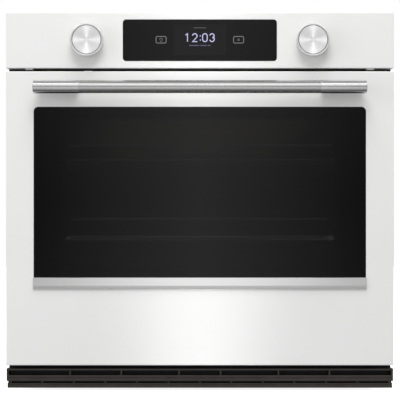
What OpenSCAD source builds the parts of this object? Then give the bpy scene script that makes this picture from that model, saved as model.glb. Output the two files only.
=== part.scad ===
// Built-in single wall oven with a drop-down door.
// +Z is up, -Y is the front and +X is to the viewer's right.
// The origin is under the chassis, midway across it, in the plane of the cabinet's face.

/* [Front] */
// Width of the front
front_w = 755.6; // [752:0.2:760]
// Height of the front's top edge above the deck
front_top = 700; // [697:0.5:702]
// Height of the control panel
panel_h = 108.8; // [106:0.2:110]
// Air gap between the control panel and the door
air_gap = 6.1; // [5:0.1:7]
// Height of the door
door_h = 573; // [571:0.2:575]
// Gap between the door and the vent trim
sill_gap = 7.5; // [6:0.1:9]
// How far the vent trim hangs below the deck
trim_drop = 33.9; // [32:0.1:38]
// Distance from the cabinet's face to the door's face
front_d = 45; // [45:0.5:47]

/* [Window] */
// Width of the door's window
window_w = 647.8; // [620:1:660]
// Height of the door's window
window_h = 332.8; // [325:0.2:340]
// White band above the window
window_drop = 69.2; // [65:0.2:76]
// Height of the metal strip under the window
strip_h = 22; // [18:0.5:26]

/* [Handle] */
// Length of the handle
handle_len = 646; // [600:1:660]
// Diameter of the handle bar
handle_d = 25.4; // [22:0.1:27]
// Distance from the door's face to the bar's axis
handle_out = 35.5; // [32:0.5:45]
// Distance from the door's top edge to the bar's axis
handle_drop = 31.7; // [30:0.1:36]
// Length of each end sleeve
sleeve_len = 89; // [70:1:110]

/* [Controls] */
// Distance from the centre of the front to each knob
knob_x = 220; // [190:1:240]
// Diameter of a knob's ring
knob_d = 64; // [54:1:70]
// Diameter of a knob's face disc
disc_d = 56.6; // [46:0.5:60]
// Height of a knob above its back edge
knob_h = 19; // [15:0.5:24]
// Travel of a pressed knob
knob_travel = 1; // [0.5:0.1:1.2]
// Width of the display glass
display_w = 300.4; // [280:1:310]
// Height of the display glass
display_h = 81.2; // [76:0.5:86]

/* [Chassis] */
// Width of the chassis
chassis_w = 716; // [714:1:718]
// Height of the chassis
chassis_h = 684; // [682:1:686]
// Depth of the chassis
chassis_d = 590; // [586:1:596]

/* [Cavity] */
// Width inside the oven
cavity_w = 620; // [618:1:621]
// Height inside the oven
cavity_h = 436; // [434:1:437]
// Depth inside the oven
cavity_d = 480; // [478:1:482]
// Height of the oven's floor above the deck
floor_z = 112; // [110:1:113]
// Height between two rack positions
rack_pitch = 53; // [50:0.5:54]

/* [Hidden] */
$fn = 64;

// Sheet metal and small allowances
sheet = 1.2;
plate = 1.5;
eps = 1;
gap = 0.3;
fit = 0.05;

// Limits of the front's pieces
front_x = front_w / 2;
face_y = -front_d;
panel_z = [front_top - panel_h, front_top];
panel_mid = (panel_z[0] + panel_z[1]) / 2;
door_z = [panel_z[0] - air_gap - door_h, panel_z[0] - air_gap];
lip_z = door_z[0] - sill_gap;
window_x = window_w / 2;
window_z = [door_z[1] - window_drop - window_h, door_z[1] - window_drop];
window_r = 9;
glass_t = 4;

// Limits of the chassis and of the oven's inside
chassis_x = chassis_w / 2;
cavity_x = cavity_w / 2;
cavity_z = [floor_z, floor_z + cavity_h];
wool = 32;
wool_top = cavity_z[1] + sheet + wool - 2;

// Screws of the side angles, and the gland for the supply conduit
rail_screws_x = 368.5;
rail_screws_z = [120, 560];
rail_screw_r = 2.6;
gland_x = -250;
gland_z = 620;
gland_r = 14;
gland_bore = 10.5;

// Lamp, probe and roof heater of the oven
lamp_x = -235;
lamp_z = 490;
lamp_r = 26;
probe_x = 230;
probe_z = 520;
probe_r = 2.5;
broil_z = cavity_z[1] - 14;
broil_r = 3.5;
broil_pitch = 55;
broil_runs = 8;
broil_lead = broil_pitch * (broil_runs - 1) / 2;

// The door's layers, from its face inwards
door_back = -15;
liner_x = 345;
liner_y = -8;
liner_z = [60, 580];
sight_x = 276;
sight_z = [window_z[0] + 22, window_z[1] - 20];

// The door's pivot and the hinge arms
hinge_x = 335;
hinge_y = -36;
hinge_z = 25;
pin_r = 3;
arm_r = 6.5;
arm_half = 4;
cheek = [7, 9];

// The door latch and the door switch
latch_y = 16;
latch_z = liner_z[1] - 10;
latch_reach = 40;
latch_slot = [-7, 50];
latch_pin = 2.5;
hook_t = 1.5;
switch_x = 150;
plunger_r = 2.5;

// Racks: a ladder's wires and the two rack levels
wire = 3;
ladder_r = 2.5;
rack_x = 299.5;
ladder_x = rack_x + 2;
first_level = floor_z + 34.5;
levels = 7;
glide_z = first_level + 2 * rack_pitch;
upper_z = first_level + 5 * rack_pitch;
rack_y = [22, 448];
rack_wires = 39;
runner_x = [268, 288];

// Fans
fan_z = floor_z + cavity_h / 2;
fan_r = 72;
fan_y = cavity_d - 13;
cover_y = cavity_d - 24;
motor_hole = 12;
motor_y = [cavity_d + 38, cavity_d + 92];
fan_shaft_r = 4;
blower_y = 400;
blower_z = [592, 634];
wheel_r = 70;

// Controls
encoder_y = [-36, -26];
shaft_r = 3;
rotor_r = 5.5;
knob_back = face_y - 1.6;

handle_y = face_y - handle_out;
handle_z = door_z[1] - handle_drop;
mount_x = handle_len / 2 - sleeve_len / 2 - 2;

// A box between two limits on each axis
module span(x, y, z) {
    translate([x[0], y[0], z[0]]) cube([x[1] - x[0], y[1] - y[0], z[1] - z[0]]);
}

// Straight round bars along each axis
module rod_x(r, x, y, z) {
    translate([x[0], y, z]) rotate([0, 90, 0]) cylinder(h = x[1] - x[0], r = r);
}
module rod_y(r, x, y, z) {
    translate([x, y[0], z]) rotate([-90, 0, 0]) cylinder(h = y[1] - y[0], r = r);
}
module rod_z(r, x, y, z) {
    translate([x, y, z[0]]) cylinder(h = z[1] - z[0], r = r);
}

// A shape and its mirror image across the oven's middle
module both_sides() {
    children();
    mirror([1, 0, 0]) children();
}

// An upright panel across Y whose upper and lower corners have their own radii
module upright(half_w, y, z, r_up, r_low) {
    span([r_low - half_w, half_w - r_low], y, [z[0], z[1] - r_up]);
    span([r_up - half_w, half_w - r_up], y, [z[0] + r_low, z[1]]);
    span([-half_w, half_w], y, [z[0] + r_low, z[1] - r_up]);
    both_sides() {
        if (r_up > 0) rod_y(r_up, half_w - r_up, y, z[1] - r_up);
        if (r_low > 0) rod_y(r_low, half_w - r_low, y, z[0] + r_low);
    }
}

// A turned shape about an axis along Y; profile points are [radius, distance behind y]
module turned(x, y, z) {
    translate([x, y, z]) rotate([-90, 0, 0]) rotate_extrude() children();
}

// A quarter bend of round bar, centred at a point of an upright plane across Y
module bend_xz(x, y, z, bend_r, r, start) {
    translate([x, y, z]) rotate([90, 0, 0]) rotate([0, 0, start])
        rotate_extrude(angle = 90) translate([bend_r, 0]) circle(r = r);
}

// A half bend of round bar in a level plane, open towards +Y or -Y
module loop_xy(x, y, z, bend_r, r, start) {
    translate([x, y, z]) rotate([0, 0, start])
        rotate_extrude(angle = 180) translate([bend_r, 0]) circle(r = r);
}

// --- Chassis ---

module base_pan() {
    color("lightslategray") {
        span([-chassis_x, chassis_x], [0, chassis_d], [0, sheet]);
        for (y = [120, 300, 480]) {
            span([40 - chassis_x, chassis_x - 40], [y - 12, y + 12], [sheet, sheet + 6]);
        }
    }
}

module side_panel() {
    flange = 20;
    z = [sheet, chassis_h - sheet];
    y = [0, chassis_d - sheet];
    span([chassis_x - sheet, chassis_x], y, z);
    span([chassis_x - flange, chassis_x], y, [z[1] - sheet, z[1]]);
    span([chassis_x - flange, chassis_x], [y[1] - sheet, y[1]], z);
}

module left_side_panel() {
    color("silver") mirror([1, 0, 0]) side_panel();
}

module right_side_panel() {
    color("silver") side_panel();
}

module top_cover() {
    slots = 9;
    color("silver") difference() {
        span([-chassis_x, chassis_x], [0, chassis_d], [chassis_h - sheet, chassis_h]);
        for (i = [0 : slots - 1]) {
            translate([(i - (slots - 1) / 2) * 60, 0, 0])
                span([-4, 4], [150, 230], [chassis_h - 2 * sheet, chassis_h + eps]);
        }
    }
}

module rear_cover() {
    slots = 8;
    color("gainsboro") difference() {
        span([-chassis_x, chassis_x], [chassis_d - sheet, chassis_d], [sheet, chassis_h - sheet]);
        for (i = [0 : slots - 1]) {
            both_sides() translate([200, 0, 190 + i * 22])
                span([-60, 60], [chassis_d - 2 * sheet, chassis_d + eps], [-3, 3]);
        }
        rod_y(gland_r, gland_x, [chassis_d - 2 * sheet, chassis_d + eps], gland_z);
    }
}

// Bushing for the supply conduit, with its flange outside the rear cover
module conduit_gland() {
    inside = 10;
    color("dimgray") difference() {
        union() {
            rod_y(gland_r, gland_x, [chassis_d - inside, chassis_d], gland_z);
            rod_y(gland_r + 4, gland_x, [chassis_d, chassis_d + 2], gland_z);
        }
        rod_y(gland_bore, gland_x, [chassis_d - inside - eps, chassis_d + 2 + eps], gland_z);
    }
}

// Flat steel frame behind the door, with the ears that carry the hinge arms
module front_frame() {
    through = [-plate - eps, eps];
    y = [-plate, 0];
    color("silver") {
        difference() {
            span([-chassis_x, chassis_x], y, [0, chassis_h]);
            span([-cavity_x - sheet, cavity_x + sheet], through,
                [cavity_z[0] - sheet, cavity_z[1] + sheet]);
            span([-300, 300], through, [liner_z[1] + 2, panel_z[0] - 3]);
            span([-300, 300], through, [panel_z[0] + 12, panel_z[1] - 26]);
            span([latch_slot[0] - 2, latch_slot[1] + 4], through, [latch_z - 3.5, latch_z + 3.5]);
            rod_y(plunger_r + 1, switch_x, through, latch_z);
            both_sides() span([hinge_x - 6, hinge_x + 6], through, [hinge_z - 9, hinge_z + 30]);
        }
        both_sides() {
            span([hinge_x - 9, hinge_x - 6], [0, 82], [2, 58]);
            span([hinge_x + 6, hinge_x + 9], [0, 82], [2, 58]);
        }
    }
}

// Angles along both sides that lie against the cabinet's face and take its screws
module mounting_rails() {
    color("silver") both_sides() difference() {
        union() {
            span([chassis_x, front_x - 2.5], [-plate, 0], [0, chassis_h]);
            span([chassis_x, chassis_x + plate], [0, 25], [0, chassis_h]);
        }
        for (z = rail_screws_z) {
            rod_y(rail_screw_r, rail_screws_x, [-plate - eps, eps], z);
        }
    }
}

// Louvred trim below the door: lip, ribbed bar with rivets, grooved bar, struts and a back plate
module bottom_vent_trim() {
    back = -plate - sheet;
    lip = [lip_z - 3.2, lip_z];
    middle = [lip_z - 24.1, lip_z - 12.6];
    low = [-trim_drop, -trim_drop + 9.4];
    ends = front_x;
    upper_struts = [40.6, 153.7, 253.5, ends - 1.5];
    lower_pitch = 61.8;
    rib = 4;
    groove = 1.8;
    low_x = [0.8 - ends, ends - 0.8];
    low_rib = low[1] - 2;
    low_groove = low_rib - 2;
    color("darkslategray") {
        span([-ends, ends], [-33, back], lip);
        span([-ends, ends], [-32, -8], [middle[1] - rib, middle[1]]);
        span([-ends, ends], [-29, -8], [middle[1] - rib - groove, middle[1] - rib]);
        span([-ends, ends], [-31, -8], [middle[0], middle[1] - rib - groove]);
        span(low_x, [-20, -plate], [low_rib, low[1]]);
        span(low_x, [-18, -plate], [low_groove, low_rib]);
        span(low_x, [-20, -plate], [low[0], low_groove]);
        span(low_x, [back, -plate], [low[0], lip_z]);
        both_sides() for (x = upper_struts) {
            span([x - 1.5, x + 1.5], [-29, -4], [middle[1], lip[0]]);
        }
        for (i = [-6 : 6]) {
            span([i * lower_pitch - 1.5, i * lower_pitch + 1.5], [-19, -9], [low[1], middle[0]]);
        }
        for (i = [-5 : 5]) {
            rod_y(2.7, i * lower_pitch, [-32.2, -31], middle[0] + 3.3);
        }
        both_sides() {
            span([ends - 4, ends], [-32, -plate], [middle[0], lip[1]]);
        }
    }
}

// --- Oven cavity ---

// Holes through the oven's back wall for the shaft, the lamp, the probe and the leads
module back_holes(y, clear) {
    rod_y(motor_hole + clear, 0, y, fan_z);
    rod_y(lamp_r + gap + clear, lamp_x, y, lamp_z);
    rod_y(probe_r + 1.5 + clear, probe_x, y, probe_z);
    both_sides() rod_y(broil_r + 1 + clear, broil_lead, y, broil_z);
}

module cavity_liner() {
    outer = cavity_x + sheet;
    flange = 6;
    color("dimgray") difference() {
        union() {
            span([-outer, outer], [-plate - sheet, cavity_d + sheet],
                [cavity_z[0] - sheet, cavity_z[1] + sheet]);
            span([-outer - flange, outer + flange], [-plate - sheet, -plate],
                [cavity_z[0] - sheet - flange, cavity_z[1] + sheet + flange]);
        }
        span([-cavity_x, cavity_x], [-plate - sheet - eps, cavity_d], cavity_z);
        back_holes([cavity_d - eps, cavity_d + sheet + eps], 0);
    }
}

// Mineral wool on all five sides, hollow under the floor for the bake element
module cavity_insulation() {
    outer = cavity_x + sheet + wool;
    inner = cavity_x + sheet;
    y = [2, cavity_d + sheet + 30];
    color("khaki") difference() {
        span([-outer, outer], y, [cavity_z[0] - sheet - wool, wool_top]);
        span([-inner, inner], [y[0] - eps, cavity_d + sheet],
            [cavity_z[0] - sheet, cavity_z[1] + sheet]);
        span([-240, 240], [50, 430], [cavity_z[0] - sheet - 18, cavity_z[0] - sheet + eps]);
        back_holes([cavity_d, y[1] + eps], 3);
        span([-45, 62], [y[0] - eps, 70], [cavity_z[1] + 12, cavity_z[1] + 40]);
        span([switch_x - 16, switch_x + 16], [y[0] - eps, 34], [cavity_z[1] + 12, cavity_z[1] + 40]);
    }
}

// Welded wire frame that carries the racks: a support and a keeper wire at each level
module rack_ladder() {
    y = [30, 455];
    post_x = ladder_x + 4.5;
    for (i = [0 : levels - 1]) {
        z = first_level + i * rack_pitch;
        rod_y(ladder_r, ladder_x, y, z - 5.8);
        rod_y(ladder_r, ladder_x, y, z + 9.5);
    }
    for (py = [45, 245, 440]) {
        rod_z(ladder_r, post_x, py, [first_level - 18, first_level + (levels - 1) * rack_pitch + 18]);
    }
}

module left_rack_ladder() {
    color("silver") mirror([1, 0, 0]) rack_ladder();
}

module right_rack_ladder() {
    color("silver") rack_ladder();
}

// Tube heater under the roof: eight runs, seven bends and two leads through the back wall
module broil_element() {
    y = [70, 400];
    bend = broil_pitch / 2;
    color("darkgray") {
        for (i = [0 : broil_runs - 1]) {
            x = i * broil_pitch - broil_lead;
            is_lead = i == 0 || i == broil_runs - 1;
            rod_y(broil_r, x, [y[0], is_lead ? cavity_d + 28 : y[1]], broil_z);
        }
        for (i = [0 : 2 : broil_runs - 2]) {
            loop_xy(i * broil_pitch + bend - broil_lead, y[0], broil_z, bend, broil_r, 180);
        }
        for (i = [1 : 2 : broil_runs - 3]) {
            loop_xy(i * broil_pitch + bend - broil_lead, y[1], broil_z, bend, broil_r, 0);
        }
    }
}

// Hidden heater under the floor, in four runs
module bake_element() {
    run_x = [-180, -60, 60, 180];
    z = cavity_z[0] - sheet - 9;
    y = [130, 350];
    color("darkgray") {
        for (x = run_x) {
            rod_y(broil_r, x, y, z);
        }
        for (x = [-120, 120]) {
            loop_xy(x, y[0], z, 60, broil_r, 180);
        }
        loop_xy(0, y[1], z, 60, broil_r, 0);
    }
}

// Pressed cover over the convection fan, with a ring of air slots
module fan_cover() {
    half_w = 120;
    half_h = 105;
    slots = 18;
    color("dimgray") difference() {
        upright(half_w, [cover_y, cavity_d], [fan_z - half_h, fan_z + half_h], 20, 20);
        upright(half_w - sheet, [cover_y + sheet, cavity_d + eps],
            [fan_z - half_h + sheet, fan_z + half_h - sheet], 18.8, 18.8);
        for (i = [0 : slots - 1]) {
            translate([0, 0, fan_z]) rotate([0, i * 360 / slots, 0])
                span([30, 66], [cover_y - eps, cover_y + sheet + eps], [-2.5, 2.5]);
        }
        both_sides() for (i = [-3 : 3]) {
            span([half_w - 2 * sheet, half_w + eps], [cover_y + 6, cavity_d - 5],
                [fan_z + i * 22 - 4, fan_z + i * 22 + 4]);
        }
    }
}

// Motor of the convection fan on its bracket behind the insulation
module fan_motor() {
    motor_r = 36;
    color("slategray") difference() {
        union() {
            rod_y(motor_r, 0, motor_y, fan_z);
            span([-70, 70], [motor_y[0] - 2, motor_y[0]], [fan_z - 22, fan_z + 22]);
            both_sides() span([60, 70], [cavity_d + sheet + 30, motor_y[0]], [fan_z - 22, fan_z + 22]);
        }
        rod_y(fan_shaft_r + fit, 0, [motor_y[0] - 2 - eps, motor_y[1] - 14], fan_z);
    }
}

// Radial fan with its hub and shaft
module fan_blade() {
    blades = 6;
    color("silver") {
        rod_y(fan_shaft_r, 0, [fan_y, motor_y[1] - 16], fan_z);
        rod_y(9, 0, [fan_y - 8, fan_y + 11], fan_z);
        rod_y(fan_r - 14, 0, [fan_y + 10, fan_y + 11.2], fan_z);
        for (i = [0 : blades - 1]) {
            translate([0, 0, fan_z]) rotate([0, i * 360 / blades, 0])
                span([7, fan_r], [fan_y - 6, fan_y + 11], [-0.6, 0.6]);
        }
    }
}

module lamp_holder() {
    color("white") difference() {
        union() {
            rod_y(lamp_r, lamp_x, [cavity_d - 3, cavity_d + 52], lamp_z);
            rod_y(lamp_r + 7, lamp_x, [cavity_d - 3, cavity_d], lamp_z);
        }
        rod_y(lamp_r - 4, lamp_x, [cavity_d - 3 - eps, cavity_d + 44], lamp_z);
    }
}

module lamp_bulb() {
    color("lightyellow") {
        turned(lamp_x, cavity_d + 2, lamp_z) difference() {
            union() {
                translate([0, 11]) circle(r = 11);
                translate([-6, 18]) square([12, 24]);
            }
            translate([-30, -5]) square([30, 60]);
        }
    }
}

// Domed lamp glass, open at the back and held against the holder's rim
module lamp_lens() {
    dome_r = 36;
    rise = 15;
    color("lightcyan") turned(lamp_x, cavity_d - 3, lamp_z) difference() {
        intersection() {
            translate([0, dome_r - rise]) circle(r = dome_r);
            translate([0, -rise]) square([dome_r, rise]);
        }
        translate([0, dome_r - rise]) circle(r = dome_r - 3);
    }
}

// Sensor rod through the back wall, with its fixing plate
module temperature_probe() {
    color("silver") {
        rod_y(probe_r, probe_x, [cavity_d - 95, cavity_d + 30], probe_z);
        span([probe_x - 16, probe_x + 16], [cavity_d - sheet, cavity_d], [probe_z - 7, probe_z + 7]);
    }
}

// Soft seal round the oven's mouth
module door_gasket() {
    seal_r = 3.1;
    bend_r = 16;
    x = cavity_x + 16;
    z = [cavity_z[0] - 16, cavity_z[1] + 14];
    y = -plate - seal_r;
    color("darkslategray") {
        both_sides() {
            rod_z(seal_r, x, y, [z[0] + bend_r, z[1] - bend_r]);
            bend_xz(x - bend_r, y, z[1] - bend_r, bend_r, seal_r, 0);
            bend_xz(x - bend_r, y, z[0] + bend_r, bend_r, seal_r, 270);
        }
        rod_x(seal_r, [bend_r - x, x - bend_r], y, z[0]);
        rod_x(seal_r, [bend_r - x, x - bend_r], y, z[1]);
    }
}

// --- Racks ---

// Bars of a rack's top from front to back, at an even pitch across the middle
module rack_bars(half_w, y, z, r) {
    count = floor(half_w / rack_wires);
    for (i = [-count : count]) {
        rod_y(r, i * rack_wires, y, z);
    }
}

// Plain rack with a raised guard at the back and two stops under its front bar
module upper_rack() {
    guard = 40;
    stop_x = 249;
    color("silver") {
        both_sides() rod_y(wire, rack_x, [rack_y[0] - 1, rack_y[1] + 1], upper_z);
        for (y = rack_y) {
            rod_x(wire, [-rack_x, rack_x], y, upper_z);
        }
        for (y = [rack_y[0] + 120, rack_y[1] - 120]) {
            rod_x(2.5, [-rack_x, rack_x], y, upper_z - 1);
        }
        rack_bars(rack_x - 20, rack_y, upper_z, 2);
        both_sides() {
            rod_z(2.5, rack_x - 15, rack_y[1], [upper_z, upper_z + guard]);
            for (dx = [-8, 8]) {
                rod_z(1.8, stop_x + dx, rack_y[0], [upper_z - 20, upper_z]);
            }
            rod_x(2, [stop_x - 11, stop_x + 11], rack_y[0], upper_z - 20);
        }
        rod_x(3, [12 - rack_x, rack_x - 12], rack_y[1], upper_z + guard);
    }
}

// Fixed frame of the roll-out rack: side wires in the ladders and two slide rails
module glide_frame() {
    rail = [282, 294];
    color("darkgray") {
        both_sides() {
            rod_y(wire, rack_x, rack_y, glide_z);
            span(rail, rack_y, [glide_z - 16, glide_z - 4]);
            for (y = [rack_y[0] + 6, rack_y[1] - 26]) {
                span([rail[1] - 2, rack_x - 2], [y, y + 20], [glide_z - 8, glide_z - 1]);
            }
        }
        for (y = [rack_y[0] + 8, rack_y[1] - 8]) {
            rod_x(wire, [-rail[0] - 2, rail[0] + 2], y, glide_z - 17);
        }
    }
}

// Sliding top of the roll-out rack
module glide_rack() {
    bar_z = glide_z + 1;
    y = [rack_y[0], rack_y[1] - 10];
    pull = 118;
    color("silver") {
        both_sides() {
            span(runner_x, [y[0], y[1]], [glide_z - 4 + gap, glide_z + 2]);
            rod_z(wire, pull, y[0], [bar_z, bar_z + 5]);
        }
        for (by = y) {
            rod_x(wire, [-runner_x[1], runner_x[1]], by, bar_z);
        }
        rod_x(wire, [-pull, pull], y[0], bar_z + 5);
        for (by = [y[0] + 130, y[1] - 130]) {
            rod_x(2.5, [-runner_x[0] - 2, runner_x[0] + 2], by, bar_z - 2);
        }
        rack_bars(runner_x[0] - 10, y, bar_z, 2);
        rod_x(3, [-runner_x[0] - 6, runner_x[0] + 6], y[1], bar_z + 38);
        both_sides() rod_z(2.5, runner_x[0] + 2, y[1], [bar_z, bar_z + 38]);
    }
}

// --- Door hinges, latch and switch ---

// Flat arm with a round eye that carries the pivot pin
module hinge_arm() {
    x = [hinge_x - arm_half, hinge_x + arm_half];
    span(x, [hinge_y, 78], [hinge_z - arm_r, hinge_z + arm_r]);
    rod_x(arm_r, x, hinge_y, hinge_z);
    rod_x(pin_r, [hinge_x - cheek[1], hinge_x + cheek[1]], hinge_y, hinge_z);
    rod_x(pin_r, [hinge_x - 6, hinge_x + 6], 60, hinge_z + 12);
    span(x, [50, 70], [hinge_z, hinge_z + 18]);
}

module left_hinge_arm() {
    color("darkgray") mirror([1, 0, 0]) hinge_arm();
}

module right_hinge_arm() {
    color("darkgray") hinge_arm();
}

// Gear motor of the door lock, with the pin that the hook turns on
module latch_motor() {
    color("dimgray") {
        span([-24, 24], [0, 52], [latch_z + 4, latch_z + 30]);
        rod_z(latch_pin, 0, latch_y, [latch_z - 5, latch_z + 5]);
        rod_z(latch_pin + 2, 0, latch_y, [latch_z - 7, latch_z - hook_t - gap]);
    }
}

// Hook of the door lock, parked behind the frame and pointing along it
module latch_hook() {
    color("gold") difference() {
        union() {
            rod_z(7, 0, latch_y, [latch_z - hook_t, latch_z + hook_t]);
            span([0, latch_reach], [latch_y - 4, latch_y + 4], [latch_z - hook_t, latch_z + hook_t]);
            span([latch_reach - 6, latch_reach], [latch_y - 10, latch_y],
                [latch_z - hook_t, latch_z + hook_t]);
        }
        rod_z(latch_pin + fit, 0, latch_y, [latch_z - hook_t - eps, latch_z + hook_t + eps]);
    }
}

module door_switch() {
    color("black") difference() {
        span([switch_x - 11, switch_x + 11], [0, 30], [latch_z - 7, latch_z + 7]);
        rod_y(plunger_r + fit, switch_x, [-eps, 20], latch_z);
    }
}

module switch_plunger() {
    color("white") rod_y(plunger_r, switch_x, [liner_y + gap, 15], latch_z);
}

// --- Cooling blower and electrics, above the oven ---

// Scroll casing with an air inlet above and an outlet duct to the front
module blower_housing() {
    half = 95;
    duct = 60;
    y = [blower_y - half, blower_y + half];
    wall = 1.5;
    inside = [blower_z[0] + wall, blower_z[1] - wall];
    color("silver") difference() {
        union() {
            span([-half, half], y, blower_z);
            span([-duct, duct], [120, y[0] + wall], blower_z);
            both_sides() span([half - 12, half], y, [wool_top, blower_z[0]]);
        }
        span([wall - half, half - wall], [y[0] + wall, y[1] - wall], inside);
        span([wall - duct, duct - wall], [120 - eps, y[0] + 2 * wall], inside);
        rod_z(36, 0, blower_y, [blower_z[0] - eps, blower_z[0] + wall + eps]);
        rod_z(8, 0, blower_y, [blower_z[1] - wall - eps, blower_z[1] + eps]);
    }
}

module blower_wheel() {
    blades = 18;
    z = [blower_z[0] + 5, blower_z[1] - 5];
    color("gray") {
        rod_z(4, 0, blower_y, [z[0], blower_z[1] + 12]);
        rod_z(10, 0, blower_y, [z[1] - 12, z[1]]);
        rod_z(wheel_r, 0, blower_y, [z[1] - 1.5, z[1]]);
        for (i = [0 : blades - 1]) {
            translate([0, blower_y, 0]) rotate([0, 0, i * 360 / blades])
                span([wheel_r - 18, wheel_r - 1], [-0.7, 0.7], z);
        }
    }
}

module blower_motor() {
    top = blower_z[1] + 38;
    color("slategray") difference() {
        union() {
            rod_z(30, 0, blower_y, [blower_z[1] + 4, top]);
            both_sides() span([24, 44], [blower_y - 8, blower_y + 8], [blower_z[1], blower_z[1] + 6]);
        }
        rod_z(4 + fit, 0, blower_y, [blower_z[1] + 4 - eps, blower_z[1] + 14]);
    }
}

// Relay board on its tray, with the supply terminal block beside it
module power_board() {
    tray_z = 592;
    x = [150, 330];
    color("darkgreen") {
        span(x, [250, 420], [tray_z, tray_z + 2]);
        for (y = [250, 400]) {
            span(x, [y, y + 20], [wool_top, tray_z]);
        }
        span([x[0] + 4, x[1] - 4], [254, 416], [tray_z + 2, tray_z + 3.6]);
        for (i = [0 : 3]) {
            span([x[0] + 14 + i * 40, x[0] + 40 + i * 40], [270, 290], [tray_z + 3.6, tray_z + 19]);
        }
        span([x[0] + 14, x[0] + 70], [320, 370], [tray_z + 3.6, tray_z + 42]);
        span([x[0] + 90, x[1] - 14], [384, 408], [tray_z + 3.6, tray_z + 24]);
    }
}

// --- Control panel ---

// White front with returned edges, two support tabs and a strip that closes its top at the back
module control_panel() {
    support_x = [325.8, 340.8];
    color("white") {
        difference() {
            upright(front_x, [face_y, -plate], panel_z, 1.5, 1.5);
            span([plate - front_x, front_x - plate], [face_y + plate, 0],
                [panel_z[0] + plate, panel_z[1] - plate]);
            upright(display_w / 2, [face_y - eps, face_y + plate + eps],
                [panel_mid - display_h / 2, panel_mid + display_h / 2], 6.5, 6.5);
            both_sides() rod_y(5.4, knob_x, [face_y - eps, face_y + plate + eps], panel_mid);
        }
        both_sides() span(support_x, [face_y + 8, -plate], [panel_z[0] - 2.4, panel_z[0]]);
        span([plate - front_x, front_x - plate], [-plate - sheet, -plate],
            [chassis_h - 16, panel_z[1] - plate]);
    }
}

module display_glass() {
    edge = 0.25;
    half_h = display_h / 2 - edge;
    color("black") upright(display_w / 2 - edge, [face_y - 0.2, face_y + 2.8],
        [panel_mid - half_h, panel_mid + half_h], 6.25, 6.25);
}

// Screen module and its board, behind the display glass
module display_module() {
    color("darkslateblue") {
        span([-53, 53], [face_y + 2.8, face_y + 9], [panel_mid - 33, panel_mid + 33]);
        span([-140, 140], [face_y + 9, face_y + 10.6], [panel_mid - 37, panel_mid + 37]);
        both_sides() for (x = [70, 110]) {
            span([x, x + 22], [face_y + 10.6, face_y + 20], [panel_mid - 20, panel_mid + 10]);
        }
    }
}

// Two rotary encoders with a threaded neck through the panel and a chamber for the rotor
module encoders() {
    color("gray") both_sides() difference() {
        union() {
            span([knob_x - 9, knob_x + 9], encoder_y, [panel_mid - 9, panel_mid + 9]);
            rod_y(5, knob_x, [face_y, encoder_y[0]], panel_mid);
            span([knob_x - 20, knob_x + 20], [encoder_y[0] - 1.6, encoder_y[0]],
                [panel_mid - 20, panel_mid + 20]);
            both_sides_of(knob_x) span([16, 19], [face_y + plate, encoder_y[0]],
                [panel_mid - 19, panel_mid + 19]);
        }
        rod_y(shaft_r + fit, knob_x, [face_y - eps, encoder_y[1] - 1.2], panel_mid);
        rod_y(rotor_r + fit, knob_x, [encoder_y[0] + 1.2, encoder_y[1] - 1.2], panel_mid);
    }
}

// A shape and its mirror image across an upright plane at x
module both_sides_of(x) {
    translate([x, 0, 0]) both_sides() children();
}

// Ring inside the encoder that turns with the shaft while the shaft slides through it
module encoder_rotor(x) {
    difference() {
        rod_y(rotor_r, x, [encoder_y[0] + 1.5, encoder_y[1] - 1.5], panel_mid);
        rod_y(shaft_r + fit, x, [encoder_y[0], encoder_y[1]], panel_mid);
    }
}

module left_encoder_rotor() {
    color("orange") encoder_rotor(-knob_x);
}

module right_encoder_rotor() {
    color("orange") encoder_rotor(knob_x);
}

module knob_shaft(x) {
    rod_y(shaft_r, x, [knob_back - knob_h + 6, encoder_y[1] - 1.5 - knob_travel], panel_mid);
}

module left_knob_shaft() {
    color("silver") knob_shaft(-knob_x);
}

module right_knob_shaft() {
    color("silver") knob_shaft(knob_x);
}

// Knob ring: a hollow cup with a hub, stepped at the front for the disc
module knob_ring(x) {
    r = knob_d / 2;
    seat = disc_d / 2;
    turned(x, knob_back - knob_h, panel_mid) difference() {
        polygon([
            [0, 4], [seat, 4], [seat, 0.6], [r - 1.2, 0], [r, 1.2], [r, knob_h - 1.5], [r - 1.5, knob_h],
            [r - 4, knob_h], [r - 4, 7], [9, 7], [9, knob_h - 1], [0, knob_h - 1]
        ]);
        translate([-eps, 6]) square([shaft_r + eps, knob_h]);
    }
}

module left_knob_ring() {
    color("silver") knob_ring(-knob_x);
}

module right_knob_ring() {
    color("silver") knob_ring(knob_x);
}

// Slightly dished face of a knob
module knob_disc(x) {
    r = disc_d / 2 - 0.6;
    turned(x, knob_back - knob_h, panel_mid) polygon([[0, 1.1], [r - 1, 0.3], [r, 1], [r, 4], [0, 4]]);
}

module left_knob_disc() {
    color("lightgray") knob_disc(-knob_x);
}

module right_knob_disc() {
    color("lightgray") knob_disc(knob_x);
}

// --- Door ---

// Slot at each hinge that lets the fixed arm pass while the door swings
module hinge_slots(y, z) {
    both_sides() span([hinge_x - arm_half - 1.5, hinge_x + arm_half + 1.5], y, z);
}

// White skin with returned edges and the window's opening
module door_panel() {
    color("white") difference() {
        upright(front_x, [face_y, door_back], door_z, 1.5, 1.5);
        span([plate - front_x, front_x - plate], [face_y + plate, door_back + eps],
            [door_z[0] + plate, door_z[1] - plate]);
        upright(window_x, [face_y - eps, face_y + plate + eps], window_z, window_r, 0);
        hinge_slots([face_y + plate, door_back + eps], [door_z[0] - eps, door_z[0] + 2 * plate]);
        both_sides() for (dx = [-24, 24]) {
            rod_y(3.2, mount_x + dx, [face_y - eps, face_y + plate + eps], handle_z);
        }
    }
}

module window_glass() {
    edge = 0.4;
    color("black") upright(window_x - edge, [face_y + 0.3, face_y + 0.3 + glass_t],
        [window_z[0] + edge, window_z[1] - edge], window_r - edge, 0);
}

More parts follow.
